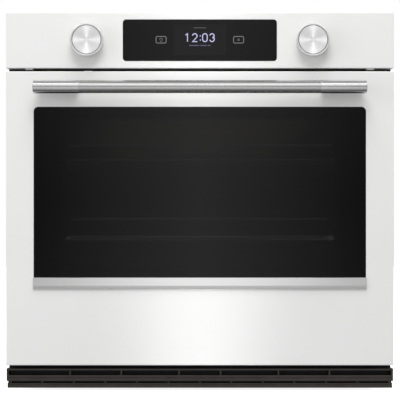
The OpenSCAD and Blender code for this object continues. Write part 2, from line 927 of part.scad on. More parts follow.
// Metal strip under the window: a shallow wedge whose ridge is near its lower edge
module window_trim() {
    ridge = 5;
    bevel = 6.4;
    color("silver") translate([-window_x - 1, face_y, window_z[0]]) rotate([90, 0, 90])
        linear_extrude(height = window_w + 2) polygon([
            [0, 0], [-1.2, 0], [-ridge, bevel - strip_h], [-2.9, -strip_h], [0, -strip_h]
        ]);
}

module handle_bar() {
    half = handle_len / 2 - 3;
    color("silver") rod_x(handle_d / 2, [-half, half], handle_y, handle_z);
}

// End sleeves round the bar, each with the post that stands on the door
module handle_mounts() {
    r = handle_d / 2;
    wall = 0.7;
    post_half = 40;
    x = [handle_len / 2 - sleeve_len, handle_len / 2];
    color("silver") both_sides() difference() {
        union() {
            rod_x(r + wall, x, handle_y, handle_z);
            span([mount_x - post_half, mount_x + post_half], [handle_y, face_y],
                [handle_z - 9, handle_z + 9]);
        }
        rod_x(r, [x[0] - eps, handle_len / 2 - 3], handle_y, handle_z);
        for (dx = [-24, 24]) {
            rod_y(2.5, mount_x + dx, [handle_y + r + 2, face_y + eps], handle_z);
        }
    }
}

// Screws through the door's skin into the handle posts
module handle_screws() {
    color("gray") both_sides() for (dx = [-24, 24]) {
        rod_y(2.5, mount_x + dx, [face_y - 16, face_y + plate], handle_z);
        rod_y(5, mount_x + dx, [face_y + plate, face_y + plate + 3], handle_z);
    }
}

// Enamelled inner pan of the door, with the inner window's opening and the latch slot
module door_liner() {
    flange_x = front_x - plate - 1;
    flange_z = [door_z[0] + plate + 0.5, door_z[1] - plate - 0.5];
    flange_y = door_back - 1;
    color("dimgray") difference() {
        union() {
            upright(liner_x, [flange_y, liner_y], liner_z, 24, 24);
            span([-flange_x, flange_x], [flange_y - sheet, flange_y], flange_z);
        }
        upright(liner_x - sheet, [flange_y - sheet - eps, liner_y - sheet],
            [liner_z[0] + sheet, liner_z[1] - sheet], 24 - sheet, 24 - sheet);
        upright(sight_x - 12, [liner_y - 2 * sheet, liner_y + eps],
            [sight_z[0] + 4, sight_z[1] - 4], 12, 12);
        span(latch_slot, [liner_y - 2 * sheet, liner_y + eps], [latch_z - 3.5, latch_z + 3.5]);
        hinge_slots([flange_y - sheet - eps, flange_y + eps], [door_z[0], hinge_z + arm_r + 4]);
    }
}

// Two tempered panes in the middle of the door
module middle_glass() {
    color("lightcyan") for (y = [-34, -26]) {
        span([-sight_x - 6, sight_x + 6], [y, y + 3], [sight_z[0] - 6, sight_z[1] + 6]);
    }
}

module inner_glass() {
    color("lightcyan") span([-sight_x, sight_x], [liner_y - sheet - glass_t, liner_y - sheet],
        [sight_z[0] - 2, sight_z[1] + 2]);
}

// Frame that holds the panes between the window glass and the liner
module glass_bracket() {
    open_x = sight_x - 2;
    open_z = [sight_z[0] + 2, sight_z[1] - 2];
    y = [face_y + 0.3 + glass_t, liner_y - sheet - glass_t];
    color("gray") difference() {
        span([-sight_x - 12, sight_x + 12], y, [sight_z[0] - 12, sight_z[1] + 12]);
        span([-open_x, open_x], [y[0] - eps, y[1] + eps], open_z);
        for (layer = [-34, -26]) {
            span([-sight_x - 6, sight_x + 6], [layer, layer + 3], [sight_z[0] - 6, sight_z[1] + 6]);
        }
    }
}

// Channels in the door that turn on the arms' pins
module hinge_channels() {
    y = [face_y + plate, door_back - 1 - sheet];
    z = [door_z[0] + plate, 300];
    color("silver") both_sides() difference() {
        union() {
            span([hinge_x - cheek[1], hinge_x - cheek[0]], y, z);
            span([hinge_x + cheek[0], hinge_x + cheek[1]], y, z);
            span([hinge_x - cheek[1], hinge_x + cheek[1]], [y[0], y[0] + plate], [50, z[1]]);
            span([hinge_x - cheek[1], hinge_x + cheek[1]], y, [z[1] - 4, z[1]]);
        }
        rod_x(pin_r + fit, [hinge_x - cheek[1] - eps, hinge_x + cheek[1] + eps], hinge_y, hinge_z);
    }
}

// Closely wound counterbalance springs inside the channels
module hinge_springs() {
    coils = 24;
    coil_pitch = 6;
    coil_r = 5.2;
    color("dimgray") both_sides() {
        translate([hinge_x, hinge_y + 7, 120]) rotate_extrude() {
            for (i = [0 : coils - 1]) {
                translate([0, i * coil_pitch])
                    polygon([[0, 0], [4.4, 0], [coil_r, 1.5], [coil_r, 4.5], [4.4, 6], [0, 6]]);
            }
        }
    }
}

base_pan();
left_side_panel();
right_side_panel();
top_cover();
rear_cover();
front_frame();
mounting_rails();
bottom_vent_trim();
cavity_liner();
cavity_insulation();
left_rack_ladder();
right_rack_ladder();
broil_element();
bake_element();
fan_cover();
fan_motor();
lamp_holder();
lamp_bulb();
lamp_lens();
temperature_probe();
door_gasket();
left_hinge_arm();
right_hinge_arm();
latch_motor();
door_switch();
blower_housing();
blower_motor();
power_board();
conduit_gland();
control_panel();
display_glass();
display_module();
encoders();
upper_rack();
glide_frame();
glide_rack();
fan_blade();
blower_wheel();
latch_hook();
switch_plunger();
left_encoder_rotor();
right_encoder_rotor();
left_knob_shaft();
right_knob_shaft();
left_knob_ring();
right_knob_ring();
left_knob_disc();
right_knob_disc();
door_panel();
window_glass();
window_trim();
handle_bar();
handle_mounts();
handle_screws();
door_liner();
middle_glass();
inner_glass();
glass_bracket();
hinge_channels();
hinge_springs();
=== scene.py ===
import math

import bmesh
import bpy
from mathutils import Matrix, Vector

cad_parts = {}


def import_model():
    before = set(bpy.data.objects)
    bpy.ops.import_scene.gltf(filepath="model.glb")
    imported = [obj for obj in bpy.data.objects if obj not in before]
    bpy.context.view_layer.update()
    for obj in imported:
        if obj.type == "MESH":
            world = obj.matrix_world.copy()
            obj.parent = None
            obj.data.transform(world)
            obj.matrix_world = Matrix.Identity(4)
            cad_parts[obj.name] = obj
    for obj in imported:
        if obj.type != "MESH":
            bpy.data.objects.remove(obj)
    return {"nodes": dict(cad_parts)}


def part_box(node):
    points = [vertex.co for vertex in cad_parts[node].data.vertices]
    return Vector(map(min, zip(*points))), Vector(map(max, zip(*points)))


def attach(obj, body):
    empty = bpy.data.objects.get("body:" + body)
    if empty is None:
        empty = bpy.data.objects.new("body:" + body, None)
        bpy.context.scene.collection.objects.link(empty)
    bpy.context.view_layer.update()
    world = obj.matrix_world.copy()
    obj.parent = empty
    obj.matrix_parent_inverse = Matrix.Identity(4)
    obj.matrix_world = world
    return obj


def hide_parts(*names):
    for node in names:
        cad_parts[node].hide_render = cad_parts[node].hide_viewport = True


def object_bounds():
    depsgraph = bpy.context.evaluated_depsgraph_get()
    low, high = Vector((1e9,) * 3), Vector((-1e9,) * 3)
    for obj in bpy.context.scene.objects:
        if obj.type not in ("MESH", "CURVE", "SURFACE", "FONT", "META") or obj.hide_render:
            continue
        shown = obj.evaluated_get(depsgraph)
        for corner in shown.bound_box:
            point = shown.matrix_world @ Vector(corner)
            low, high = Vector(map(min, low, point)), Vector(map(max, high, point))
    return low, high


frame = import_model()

CAD_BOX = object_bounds()
NODES = frame["nodes"]
MM = 0.001


# ---------------------------------------------------------------- places taken from the frame

def limits(node):
    """A CAD node's lowest and highest coordinates, as (x0, x1), (y0, y1), (z0, z1)."""
    low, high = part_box(node)
    return tuple(zip(low, high))


def grown(span, by):
    """A pair of limits moved apart by the same amount at both ends, or together if it is negative."""
    return span[0] - by, span[1] + by


PANEL_X, PANEL_Y, PANEL_BOX_Z = limits("control_panel")
DOOR_X, DOOR_Y, DOOR_Z = limits("door_panel")
GLASS_X, GLASS_Y, GLASS_Z = limits("window_glass")
STRIP_X, STRIP_Y, STRIP_Z = limits("window_trim")
SHOW_X, SHOW_Y, SHOW_Z = limits("display_glass")
BAR_X, BAR_Y, BAR_Z = limits("handle_bar")
MOUNT_X, MOUNT_Y, MOUNT_Z = limits("handle_mounts")
LINER_X, LINER_Y, LINER_Z = limits("door_liner")
RING_X, RING_Y, RING_Z = limits("right_knob_ring")
DISC_X, DISC_Y, DISC_Z = limits("right_knob_disc")
CAVITY_X, CAVITY_Y, CAVITY_Z = limits("cavity_liner")

SIDES = (-1, 1)
NAMED_SIDES = (("left", -1), ("right", 1))
FACE_Y = DOOR_Y[0]
PLATE = 1.5 * MM
SUPPORT_DROP = 2.4 * MM
PANEL_Z = (PANEL_BOX_Z[0] + SUPPORT_DROP, PANEL_BOX_Z[1])
PANEL_MID = sum(PANEL_Z) / 2
KNOB_X = sum(RING_X) / 2
HANDLE_Y = sum(BAR_Y) / 2
HANDLE_Z = sum(BAR_Z) / 2
BAR_R = (BAR_Z[1] - BAR_Z[0]) / 2


# ---------------------------------------------------------------- materials

class Paint:
    """A node material built in short steps, with object coordinates as its texture space."""

    def __init__(self, name, color=(0.8, 0.8, 0.8), rough=0.5, metal=0.0, **sockets):
        self.mat = bpy.data.materials.new(name)
        self.mat.use_nodes = True
        self.tree = self.mat.node_tree
        self.bsdf = self.tree.nodes["Principled BSDF"]
        self.set(Base_Color=(*color, 1), Roughness=rough, Metallic=metal, **sockets)
        self.coords = self.node("ShaderNodeTexCoord").outputs["Object"]

    def set(self, **sockets):
        for name, value in sockets.items():
            self.bsdf.inputs[name.replace("_", " ")].default_value = value

    def plug(self, socket, value):
        if isinstance(value, bpy.types.NodeSocket):
            self.tree.links.new(value, socket)
        else:
            socket.default_value = value

    def node(self, kind, **inputs):
        made = self.tree.nodes.new(kind)
        for name, value in inputs.items():
            self.plug(made.inputs[name.replace("_", " ")], value)
        return made

    def math(self, operation, *values):
        made = self.node("ShaderNodeMath")
        made.operation = operation
        for socket, value in zip(made.inputs, values):
            self.plug(socket, value)
        return made.outputs[0]

    def stretched(self, scale):
        return self.node("ShaderNodeMapping", Vector=self.coords, Scale=scale).outputs[0]

    def noise(self, scale, detail=3.0, rough=0.5, space=None):
        made = self.node("ShaderNodeTexNoise", Vector=space or self.coords, Scale=scale)
        self.plug(made.inputs["Detail"], detail)
        self.plug(made.inputs["Roughness"], rough)
        return made.outputs["Fac"]

    def cells(self, scale):
        return self.node("ShaderNodeTexVoronoi", Vector=self.coords, Scale=scale)

    def spread(self, value, low, high, start=0.3, end=0.7):
        made = self.node("ShaderNodeMapRange", Value=value, To_Min=low, To_Max=high)
        self.plug(made.inputs["From Min"], start)
        self.plug(made.inputs["From Max"], end)
        return made.outputs[0]

    def tint(self, value, dark, light, start=0.3, end=0.7):
        made = self.node("ShaderNodeMix")
        made.data_type = "RGBA"
        self.plug(made.inputs["Factor"], self.spread(value, 0.0, 1.0, start, end))
        self.plug(made.inputs[6], (*dark, 1))
        self.plug(made.inputs[7], (*light, 1))
        self.plug(self.bsdf.inputs["Base Color"], made.outputs[2])

    def roughness(self, value, low, high):
        self.plug(self.bsdf.inputs["Roughness"], self.spread(value, low, high))

    def bump(self, height, distance, strength=1.0):
        made = self.node("ShaderNodeBump", Height=height, Strength=strength, Distance=distance)
        self.plug(self.bsdf.inputs["Normal"], made.outputs[0])


def white_enamel():
    p = Paint("white_enamel", Specular_IOR_Level=0.32)
    p.tint(p.noise(6.0, 4), (0.83, 0.83, 0.822), (0.85, 0.85, 0.843))
    p.roughness(p.noise(45.0, 3), 0.28, 0.36)
    p.bump(p.noise(700.0, 2), 0.00002, 0.35)
    return p.mat


def brushed(name, color, rough, across=1500.0, strength=0.3):
    """Steel brushed along X: long thin lines of changing shade, roughness and height."""
    p = Paint(name, metal=1.0)
    lines = p.noise(1.0, 3, 0.6, p.stretched((12.0, across, across)))
    p.tint(lines, tuple(c * 0.93 for c in color), color)
    p.roughness(lines, rough * 0.85, rough * 1.2)
    p.bump(lines, 0.000012, strength)
    return p.mat


def spun(name, color, rough):
    """Metal turned on a lathe: fine rings about the piece's own Y axis, with four painted highlight
    streaks in its colour.
    """
    p = Paint(name, metal=0.5, Anisotropic=0.9, Anisotropic_Rotation=0.25)
    split = p.node("ShaderNodeSeparateXYZ", Vector=p.coords)
    square = [p.math("MULTIPLY", split.outputs[a], split.outputs[a]) for a in (0, 2)]
    radius = p.math("SQRT", p.math("ADD", *square))
    place = p.node("ShaderNodeCombineXYZ", X=p.math("MULTIPLY", radius, 2600.0))
    lines = p.noise(1.0, 2, 0.6, place.outputs[0])
    # Painted highlight: the colour is lightened in four streaks, up, down, left and right of the centre,
    # where a turned face catches the lights.
    angle = p.math("ARCTAN2", split.outputs[2], split.outputs[0])
    painted_glint = p.math("POWER", p.math("ABSOLUTE", p.math("COSINE", p.math("MULTIPLY", angle, 2.0))), 5.0)
    shade = p.math("ADD", p.math("MULTIPLY", painted_glint, 0.8), p.math("MULTIPLY", lines, 0.2))
    p.tint(shade, tuple(c * 0.74 for c in color), color, 0.1, 0.9)
    p.roughness(lines, rough * 0.85, rough * 1.2)
    p.bump(lines, 0.000008, 0.25)
    tangent = p.node("ShaderNodeTangent")
    tangent.direction_type = "RADIAL"
    tangent.axis = "Y"
    p.plug(p.bsdf.inputs["Tangent"], tangent.outputs[0])
    return p.mat


def galvanised():
    """Zinc-coated sheet: soft spangle cells with a slight change of shade."""
    p = Paint("galvanised", metal=0.9)
    split = p.node("ShaderNodeSeparateColor", Color=p.cells(75.0).outputs["Color"])
    p.tint(split.outputs[0], (0.45, 0.46, 0.47), (0.56, 0.57, 0.58), 0.0, 1.0)
    p.roughness(split.outputs[1], 0.34, 0.5)
    p.bump(p.noise(260.0, 3), 0.00005, 0.3)
    return p.mat


def oven_enamel():
    """Dark glossy oven enamel with fine pale specks."""
    p = Paint("oven_enamel")
    near = p.cells(420.0).outputs["Distance"]
    p.tint(near, (0.19, 0.2, 0.22), (0.013, 0.014, 0.02), 0.1, 0.2)
    p.roughness(p.noise(60.0, 3), 0.2, 0.32)
    p.bump(p.noise(350.0, 3), 0.00004, 0.4)
    return p.mat


def woven_seal():
    """Braided glass-fibre seal: crossing diagonal strands."""
    p = Paint("woven_seal")
    strands = []
    for turn in (1, -1):
        place = p.node("ShaderNodeMapping", Vector=p.coords, Rotation=(0, 0.8 * turn, 0.8 * turn))
        wave = p.node("ShaderNodeTexWave", Vector=place.outputs[0], Scale=160.0, Distortion=0.6)
        strands.append(wave.outputs["Fac"])
    braid = p.math("MAXIMUM", *strands)
    p.tint(braid, (0.012, 0.012, 0.012), (0.085, 0.083, 0.08), 0.2, 0.9)
    p.roughness(p.noise(500.0, 2), 0.75, 0.95)
    p.bump(braid, 0.0006, 0.8)
    return p.mat


def dark_trim():
    """Satin bronze finish on the bars, with painted shade: the colour turns to flat black towards the
    plate behind them.
    """
    p = Paint("dark_trim")
    split = p.node("ShaderNodeSeparateXYZ", Vector=p.coords)
    # Painted shade: the colour fades to near black, and the metal to none, between y = -12 mm and -7 mm,
    # so the plate seen through the slots and the lip's top read as in shadow.
    front = p.spread(split.outputs[1], 1.0, 0.0, -0.012, -0.007)
    cloud = p.spread(p.noise(30.0, 5, 0.65), 0.75, 1.0)
    shade = p.math("MULTIPLY", front, cloud)
    p.tint(shade, (0.002, 0.002, 0.002), (0.125, 0.113, 0.102), 0.0, 1.0)
    p.plug(p.bsdf.inputs["Metallic"], front)
    p.roughness(p.noise(240.0, 3), 0.32, 0.46)
    p.bump(p.noise(1500.0, 2), 0.00003, 0.4)
    return p.mat


def plain(name, dark, light, rough=(0.4, 0.5), metal=0.0, scale=120.0, depth=0.00003, **sockets):
    """Moulded, cast or drawn stock: cloudy shade, uneven gloss and a fine grain."""
    p = Paint(name, metal=metal, **sockets)
    p.tint(p.noise(scale * 0.35, 4), dark, light)
    p.roughness(p.noise(scale, 3), *rough)
    p.bump(p.noise(scale * 5, 3), depth, 0.5)
    return p.mat


def rack_chrome():
    """Chrome wire with a painted glint: surfaces that face up glow a little, standing in for the
    highlight of the oven's lamp.
    """
    p = Paint("rack_chrome", metal=1.0)
    p.tint(p.noise(42.0, 4), (0.6, 0.6, 0.61), (0.7, 0.7, 0.71))
    p.roughness(p.noise(120.0, 3), 0.14, 0.26)
    p.bump(p.noise(600.0, 3), 0.00003, 0.5)
    # Painted glint: emission rises from nothing to 0.4 as the normal's upward part grows from 0.3 to
    # 0.8.
    facing = p.node("ShaderNodeSeparateXYZ", Vector=p.node("ShaderNodeNewGeometry").outputs["Normal"])
    painted_glint = p.node("ShaderNodeMapRange", Value=facing.outputs[2], From_Min=0.3, From_Max=0.8, To_Max=0.4)
    p.set(Emission_Color=(0.9, 0.95, 1.0, 1))
    p.plug(p.bsdf.inputs["Emission Strength"], painted_glint.outputs[0])
    return p.mat


def glass(name, tint, alpha, rough=0.02, **sockets):
    """Glass whose clear share shows what is behind it, with a faint uneven film."""
    p = Paint(name, rough=rough, Alpha=alpha, **sockets)
    p.tint(p.noise(5.0, 2), tuple(c * 0.9 for c in tint), tint)
    p.roughness(p.noise(25.0, 3), rough, rough * 2.0)
    p.bump(p.noise(3.0, 1), 0.00002, 0.05)
    return p.mat


def glow(name, color, strength):
    """Lit marks on the display, slightly uneven like a backlight."""
    p = Paint(name, rough=0.4)
    p.tint(p.noise(90.0, 2), tuple(c * 0.008 for c in color), tuple(c * 0.012 for c in color))
    p.roughness(p.noise(200.0, 2), 0.3, 0.45)
    p.set(Emission_Color=(*color, 1), Emission_Strength=strength)
    return p.mat


M = {
    "white": white_enamel(),
    "handle": brushed("handle_steel", (0.76, 0.76, 0.755), 0.2, 2200.0, 0.08),
    "strip": brushed("strip_steel", (0.9, 0.9, 0.895), 0.12, 1800.0, 0.06),
    "sleeve": plain("sleeve_metal", (0.82, 0.82, 0.82), (0.87, 0.87, 0.87), (0.17, 0.21), 1.0,
                    60.0, 0.000003),
    "knob_ring": plain("knob_ring_metal", (0.86, 0.86, 0.86), (0.92, 0.92, 0.92), (0.16, 0.22), 0.55,
                       90.0, 0.00001),
    "knob_disc": spun("knob_disc_metal", (0.98, 0.98, 0.98), 0.25),
    "galvanised": galvanised(),
    "dark_trim": dark_trim(),
    "enamel": oven_enamel(),
    "chrome": rack_chrome(),
    "heater": plain("heater_tube", (0.035, 0.033, 0.031), (0.09, 0.08, 0.075), (0.5, 0.7), 0.6),
    "wool": plain("mineral_wool", (0.5, 0.42, 0.2), (0.72, 0.64, 0.36), (0.9, 1.0), 0.0, 300, 0.001),
    "seal": woven_seal(),
    "motor": plain("motor_steel", (0.24, 0.25, 0.26), (0.34, 0.35, 0.36), (0.35, 0.5), 0.9),
    "board": plain("circuit_board", (0.01, 0.07, 0.03), (0.02, 0.13, 0.06), (0.35, 0.5)),
    # Black paint on the front frame, made darker than the black plastic so the gaps around the door show
    # it as painted shade.
    "frame": plain("black_frame_paint_and_gap_shade", (0.006, 0.006, 0.006), (0.011, 0.011, 0.011), (0.4, 0.55)),
    "black": plain("black_plastic", (0.012, 0.012, 0.012), (0.022, 0.022, 0.022), (0.45, 0.6)),
    "ivory": plain("white_plastic", (0.72, 0.72, 0.7), (0.8, 0.8, 0.78), (0.4, 0.5)),
    "ceramic": plain("lamp_ceramic", (0.6, 0.57, 0.5), (0.72, 0.69, 0.62), (0.6, 0.8)),
    "plated": plain("plated_steel", (0.45, 0.45, 0.46), (0.58, 0.58, 0.585), (0.25, 0.4), 1.0),
    "tinted": glass("tinted_glass", (0.0012, 0.0012, 0.0013), 0.8),
    "frit": plain("printed_border", (0.001, 0.001, 0.001), (0.002, 0.002, 0.002), (0.5, 0.6)),
    "clear": glass("clear_glass", (0.5, 0.56, 0.54), 0.06),
    "lamp_glass": glass("lamp_glass", (0.9, 0.9, 0.86), 0.3),
    "display": glass("display_glass", (0.002, 0.002, 0.0021), 1.0, 0.05, Specular_IOR_Level=0.33),
    "screen": glow("screen_black", (0.22, 0.22, 0.24), 0.006),
    "digits": glow("clock_light", (0.6, 0.58, 0.88), 0.95),
    "marks": glow("mark_light", (0.5, 0.5, 0.5), 0.36),
    "note": glow("note_light", (0.42, 0.4, 0.72), 0.4),
}

LOOKS = {
    "galvanised": ("base_pan", "left_side_panel", "right_side_panel", "top_cover", "rear_cover",
                   "blower_housing"),
    "dark_trim": ("bottom_vent_trim",),
    "enamel": ("fan_cover",),
    "chrome": ("left_rack_ladder", "right_rack_ladder", "upper_rack", "glide_rack"),
    "heater": ("broil_element", "bake_element"),
    "wool": ("cavity_insulation",),
    "seal": ("door_gasket",),
    "motor": ("fan_motor", "latch_motor", "blower_motor"),
    "board": ("power_board",),
    "frame": ("front_frame", "mounting_rails", "glass_bracket"),
    "black": ("door_switch", "conduit_gland", "left_encoder_rotor", "right_encoder_rotor",
              "display_module"),
    "ivory": ("switch_plunger",),
    "ceramic": ("lamp_holder",),
    "plated": ("temperature_probe", "left_hinge_arm", "right_hinge_arm", "encoders", "glide_frame",
               "fan_blade", "blower_wheel", "latch_hook", "left_knob_shaft", "right_knob_shaft",
               "handle_screws", "hinge_channels", "hinge_springs"),
    "clear": ("middle_glass", "inner_glass"),
    "lamp_glass": ("lamp_lens", "lamp_bulb"),
}
EDGE_WIDTHS = {"bottom_vent_trim": 0.35, "fan_cover": 0.5, "front_frame": 0.4, "mounting_rails": 0.4,
               "base_pan": 0.4, "left_side_panel": 0.5, "right_side_panel": 0.5, "top_cover": 0.4,
               "rear_cover": 0.4, "glide_frame": 0.8, "power_board": 0.3, "lamp_holder": 0.8,
               "latch_hook": 0.3, "door_switch": 0.5, "latch_motor": 1.0, "fan_motor": 1.0,
               "blower_motor": 1.0, "left_hinge_arm": 0.6, "right_hinge_arm": 0.6,
               "conduit_gland": 0.5, "display_module": 0.3, "hinge_channels": 0.4}


def soften(made, width):
    """Rounded edges on a CAD node: its split vertices are joined first, so that bevels can form."""
    weld = made.modifiers.new("weld", "WELD")
    weld.merge_threshold = 0.00001
    bevel = made.modifiers.new("bevel", "BEVEL")
    bevel.width = width * MM
    bevel.segments = 2
    bevel.limit_method = "ANGLE"
    bevel.angle_limit = math.radians(40)
    bevel.harden_normals = True


for look, names in LOOKS.items():
    for name in names:
        NODES[name].data.materials.clear()
        NODES[name].data.materials.append(M[look])
for name, width in EDGE_WIDTHS.items():
    soften(NODES[name], width)


# ---------------------------------------------------------------- mesh building

CORNER_STEPS = 8
EDGE_STEPS = 4


def outline(x, z, radii):
    """An upright rectangle with its own radius at each corner, from the lower left anticlockwise."""
    return {"x": x, "z": z, "radii": radii if isinstance(radii, tuple) else (radii,) * 4}


def disc_outline(x, z, radius):
    return outline((x - radius, x + radius), (z - radius, z + radius), radius)


def loop(shape, inset, y):
    """Points of an outline moved inwards by inset, at depth y."""
    (x0, x1), (z0, z1) = shape["x"], shape["z"]
    corners = ((x0, z0, 1, 1, 180), (x1, z0, -1, 1, 270), (x1, z1, -1, -1, 0), (x0, z1, 1, -1, 90))
    points = []
    for (x, z, sx, sz, start), radius in zip(corners, shape["radii"]):
        r = max(radius - inset, 0.05 * MM)
        cx, cz = x + sx * (inset + r), z + sz * (inset + r)
        for i in range(CORNER_STEPS + 1):
            a = math.radians(start + 90 * i / CORNER_STEPS)
            points.append((cx + r * math.cos(a), y, cz + r * math.sin(a)))
    return points


def quarter(width, depth, steps=EDGE_STEPS):
    """A rounded edge as (distance from the side, distance from the face) from the face outwards."""
    turns = [math.pi / 2 * i / steps for i in range(steps + 1)]
    return [(width * (1 - math.sin(a)), depth * (1 - math.cos(a))) for a in turns]


class Solid:
    """A closed mesh made of rings of points joined by bands and caps."""

    def __init__(self):
        self.bm = bmesh.new()

    def ring(self, points):
        return [self.bm.verts.new(p) for p in points]

    def band(self, a, b):
        for i in range(len(a)):
            j = (i + 1) % len(a)
            self.bm.faces.new((a[i], a[j], b[j], b[i]))

    def tube(self, loops):
        """Rings joined one after another; returns the first and the last ring."""
        rings = [self.ring(points) for points in loops]
        for a, b in zip(rings, rings[1:]):
            self.band(a, b)
        return rings[0], rings[-1]

    def cap(self, *rings):
        """A flat face inside the first ring, with the other rings as its holes."""
        edges = []
        for ring in rings:
            for i, vert in enumerate(ring):
                edges.append(self.bm.edges.get((vert, ring[(i + 1) % len(ring)])))
        bmesh.ops.triangle_fill(self.bm, use_beauty=True, use_dissolve=False, edges=edges)

    def block(self, x, y, z, edge):
        """A box with rounded edges."""
        made = bmesh.ops.create_cube(self.bm, size=1.0)["verts"]
        for vert in made:
            for axis, (low, high) in enumerate((x, y, z)):
                vert.co[axis] = high if vert.co[axis] > 0 else low
        edges = list({e for vert in made for e in vert.link_edges})
        bmesh.ops.bevel(self.bm, geom=edges, offset=edge, segments=2, affect="EDGES", profile=0.5)

    def piece(self, name, look, body, nodes=(), slot=None, angle=35, origin=(0, 0, 0), weighted=True):
        """Finishes the mesh as one piece that rides on a body."""
        bmesh.ops.recalc_face_normals(self.bm, faces=self.bm.faces)
        mesh = bpy.data.meshes.new(name)
        bmesh.ops.translate(self.bm, verts=self.bm.verts, vec=-Vector(origin))
        self.bm.to_mesh(mesh)
        self.bm.free()
        mesh.polygons.foreach_set("use_smooth", [True] * len(mesh.polygons))
        mesh.set_sharp_from_angle(angle=math.radians(angle))
        mesh.materials.append(M[look])
        made = bpy.data.objects.new(name, mesh)
        made.location = origin
        bpy.context.scene.collection.objects.link(made)
        if weighted:
            made.modifiers.new("weighted", "WEIGHTED_NORMAL").keep_sharp = True
        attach(made, body)
        if nodes:
            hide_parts(*nodes)
        return made


def skin(solid, shape, holes, face, back, edge, hole_edge=0.8 * MM):
    """A sheet front with rounded, returned edges and rimmed holes; face and back are depths."""
    rim = [loop(shape, d, face + t) for d, t in quarter(edge, edge)]
    inner = edge - PLATE + 0.2 * MM
    bend = [loop(shape, PLATE + d, face + PLATE + t) for d, t in reversed(quarter(inner, inner))]
    front, inside = solid.tube(rim + [loop(shape, 0, back), loop(shape, PLATE, back)] + bend)
    fronts, insides = [front], [inside]
    for hole in holes:
        flare = [loop(hole, -d, face + t) for d, t in quarter(hole_edge, hole_edge)]
        near, far = solid.tube(flare + [loop(hole, 0, face + PLATE)])
        fronts.append(near)
        insides.append(far)
    solid.cap(*fronts)
    solid.cap(*insides)


def plate_of(solid, shape, face, back, edge):
    """A solid plate across Y with rounded rims on both sides."""
    rounds = [loop(shape, d, face + t) for d, t in quarter(edge, edge)]
    rounds += [loop(shape, d, back - t) for d, t in reversed(quarter(edge, edge))]
    near, far = solid.tube(rounds)
    solid.cap(near)
    solid.cap(far)


def turned(solid, profile, centre, axis, steps=96):
    """A closed turned shape; profile points are (radius, place along the axis from the centre)."""
    rings = []
    for radius, along in profile:
        points = []
        for i in range(steps):
            a = 2 * math.pi * i / steps
            u, v = radius * math.cos(a), radius * math.sin(a)
            offset = {"x": (along, u, v), "y": (v, along, u), "z": (u, v, along)}[axis]
            points.append(Vector(centre) + Vector(offset))
        rings.append(points)
    near, far = solid.tube(rings)
    solid.cap(near)
    solid.cap(far)


def arc(centre, radius, start, end, steps=6):
    """Points of an arc in a profile, angles in degrees."""
    turns = [math.radians(start + (end - start) * i / steps) for i in range(steps + 1)]
    return [(centre[0] + radius * math.cos(a), centre[1] + radius * math.sin(a)) for a in turns]


# ---------------------------------------------------------------- control panel and door fronts

CORNER_R = 2.0 * MM
FRONT_EDGE = 1.6 * MM
SPINDLE_HOLE_R = 5.4 * MM
TAB_X = (325.8 * MM, 340.8 * MM)
TOP_LIP_Z = 668 * MM
HINGE_SLOT_WIDTH = 11 * MM
HINGE_SLOT_HEIGHT = 8 * MM


def control_panel():
    """Folded white panel with its display opening, two spindle holes, support tabs and top strip."""
    made = Solid()
    holes = [outline(grown(SHOW_X, 0.25 * MM), grown(SHOW_Z, 0.25 * MM), 6.5 * MM)]
    holes += [disc_outline(side * KNOB_X, PANEL_MID, SPINDLE_HOLE_R) for side in SIDES]
    skin(made, outline(PANEL_X, PANEL_Z, CORNER_R), holes, PANEL_Y[0], PANEL_Y[1], FRONT_EDGE,
         0.5 * MM)
    for side in SIDES:
        ends = sorted(side * x for x in TAB_X)
        made.block(ends, (FACE_Y + 8 * MM, PANEL_Y[1]), (PANEL_BOX_Z[0], PANEL_Z[0]), 0.3 * MM)
    made.block(grown(PANEL_X, -PLATE), (PANEL_Y[1] - 1.2 * MM, PANEL_Y[1]),
               (TOP_LIP_Z, PANEL_Z[1] - PLATE), 0.2 * MM)
    made.piece("control_panel_front", "white", "chassis", ["control_panel"], "white_enamel")


def hinge_slots(front):
    """Opens the door's lower edge where the hinge arms come out as it swings down."""
    cutters = []
    inside, beyond = FACE_Y + PLATE, DOOR_Y[1] + MM
    size = (HINGE_SLOT_WIDTH, beyond - inside, HINGE_SLOT_HEIGHT)
    for name in ("left_hinge_arm", "right_hinge_arm"):
        place = (sum(limits(name)[0]) / 2, (inside + beyond) / 2, DOOR_Z[0])
        bpy.ops.mesh.primitive_cube_add(size=1, location=place, scale=size)
        cutters.append(bpy.context.object)
        cut = front.modifiers.new("slot", "BOOLEAN")
        cut.object = cutters[-1]
    seen = front.evaluated_get(bpy.context.evaluated_depsgraph_get())
    front.data = bpy.data.meshes.new_from_object(seen)
    front.modifiers.clear()
    front.data.set_sharp_from_angle(angle=math.radians(35))
    front.modifiers.new("weighted", "WEIGHTED_NORMAL").keep_sharp = True
    for cutter in cutters:
        bpy.data.meshes.remove(cutter.data)


def door_skin():
    """White door front with rounded edges and the window's rimmed opening."""
    made = Solid()
    opening = outline(grown(GLASS_X, 0.4 * MM), grown(GLASS_Z, 0.4 * MM),
                      (0.6 * MM, 0.6 * MM, 9 * MM, 9 * MM))
    skin(made, outline(DOOR_X, DOOR_Z, CORNER_R), [opening], DOOR_Y[0], DOOR_Y[1], FRONT_EDGE)
    front = made.piece("door_front", "white", "door", ["door_panel"], "white_enamel", weighted=False)
    hinge_slots(front)


def window():
    """Tinted pane with ground edges."""
    made = Solid()
    radii = (0.4 * MM, 0.4 * MM, 8.6 * MM, 8.6 * MM)
    plate_of(made, outline(GLASS_X, GLASS_Z, radii), GLASS_Y[0], GLASS_Y[1], 0.5 * MM)
    made.piece("window_pane", "tinted", "door", ["window_glass"], "window_glass")


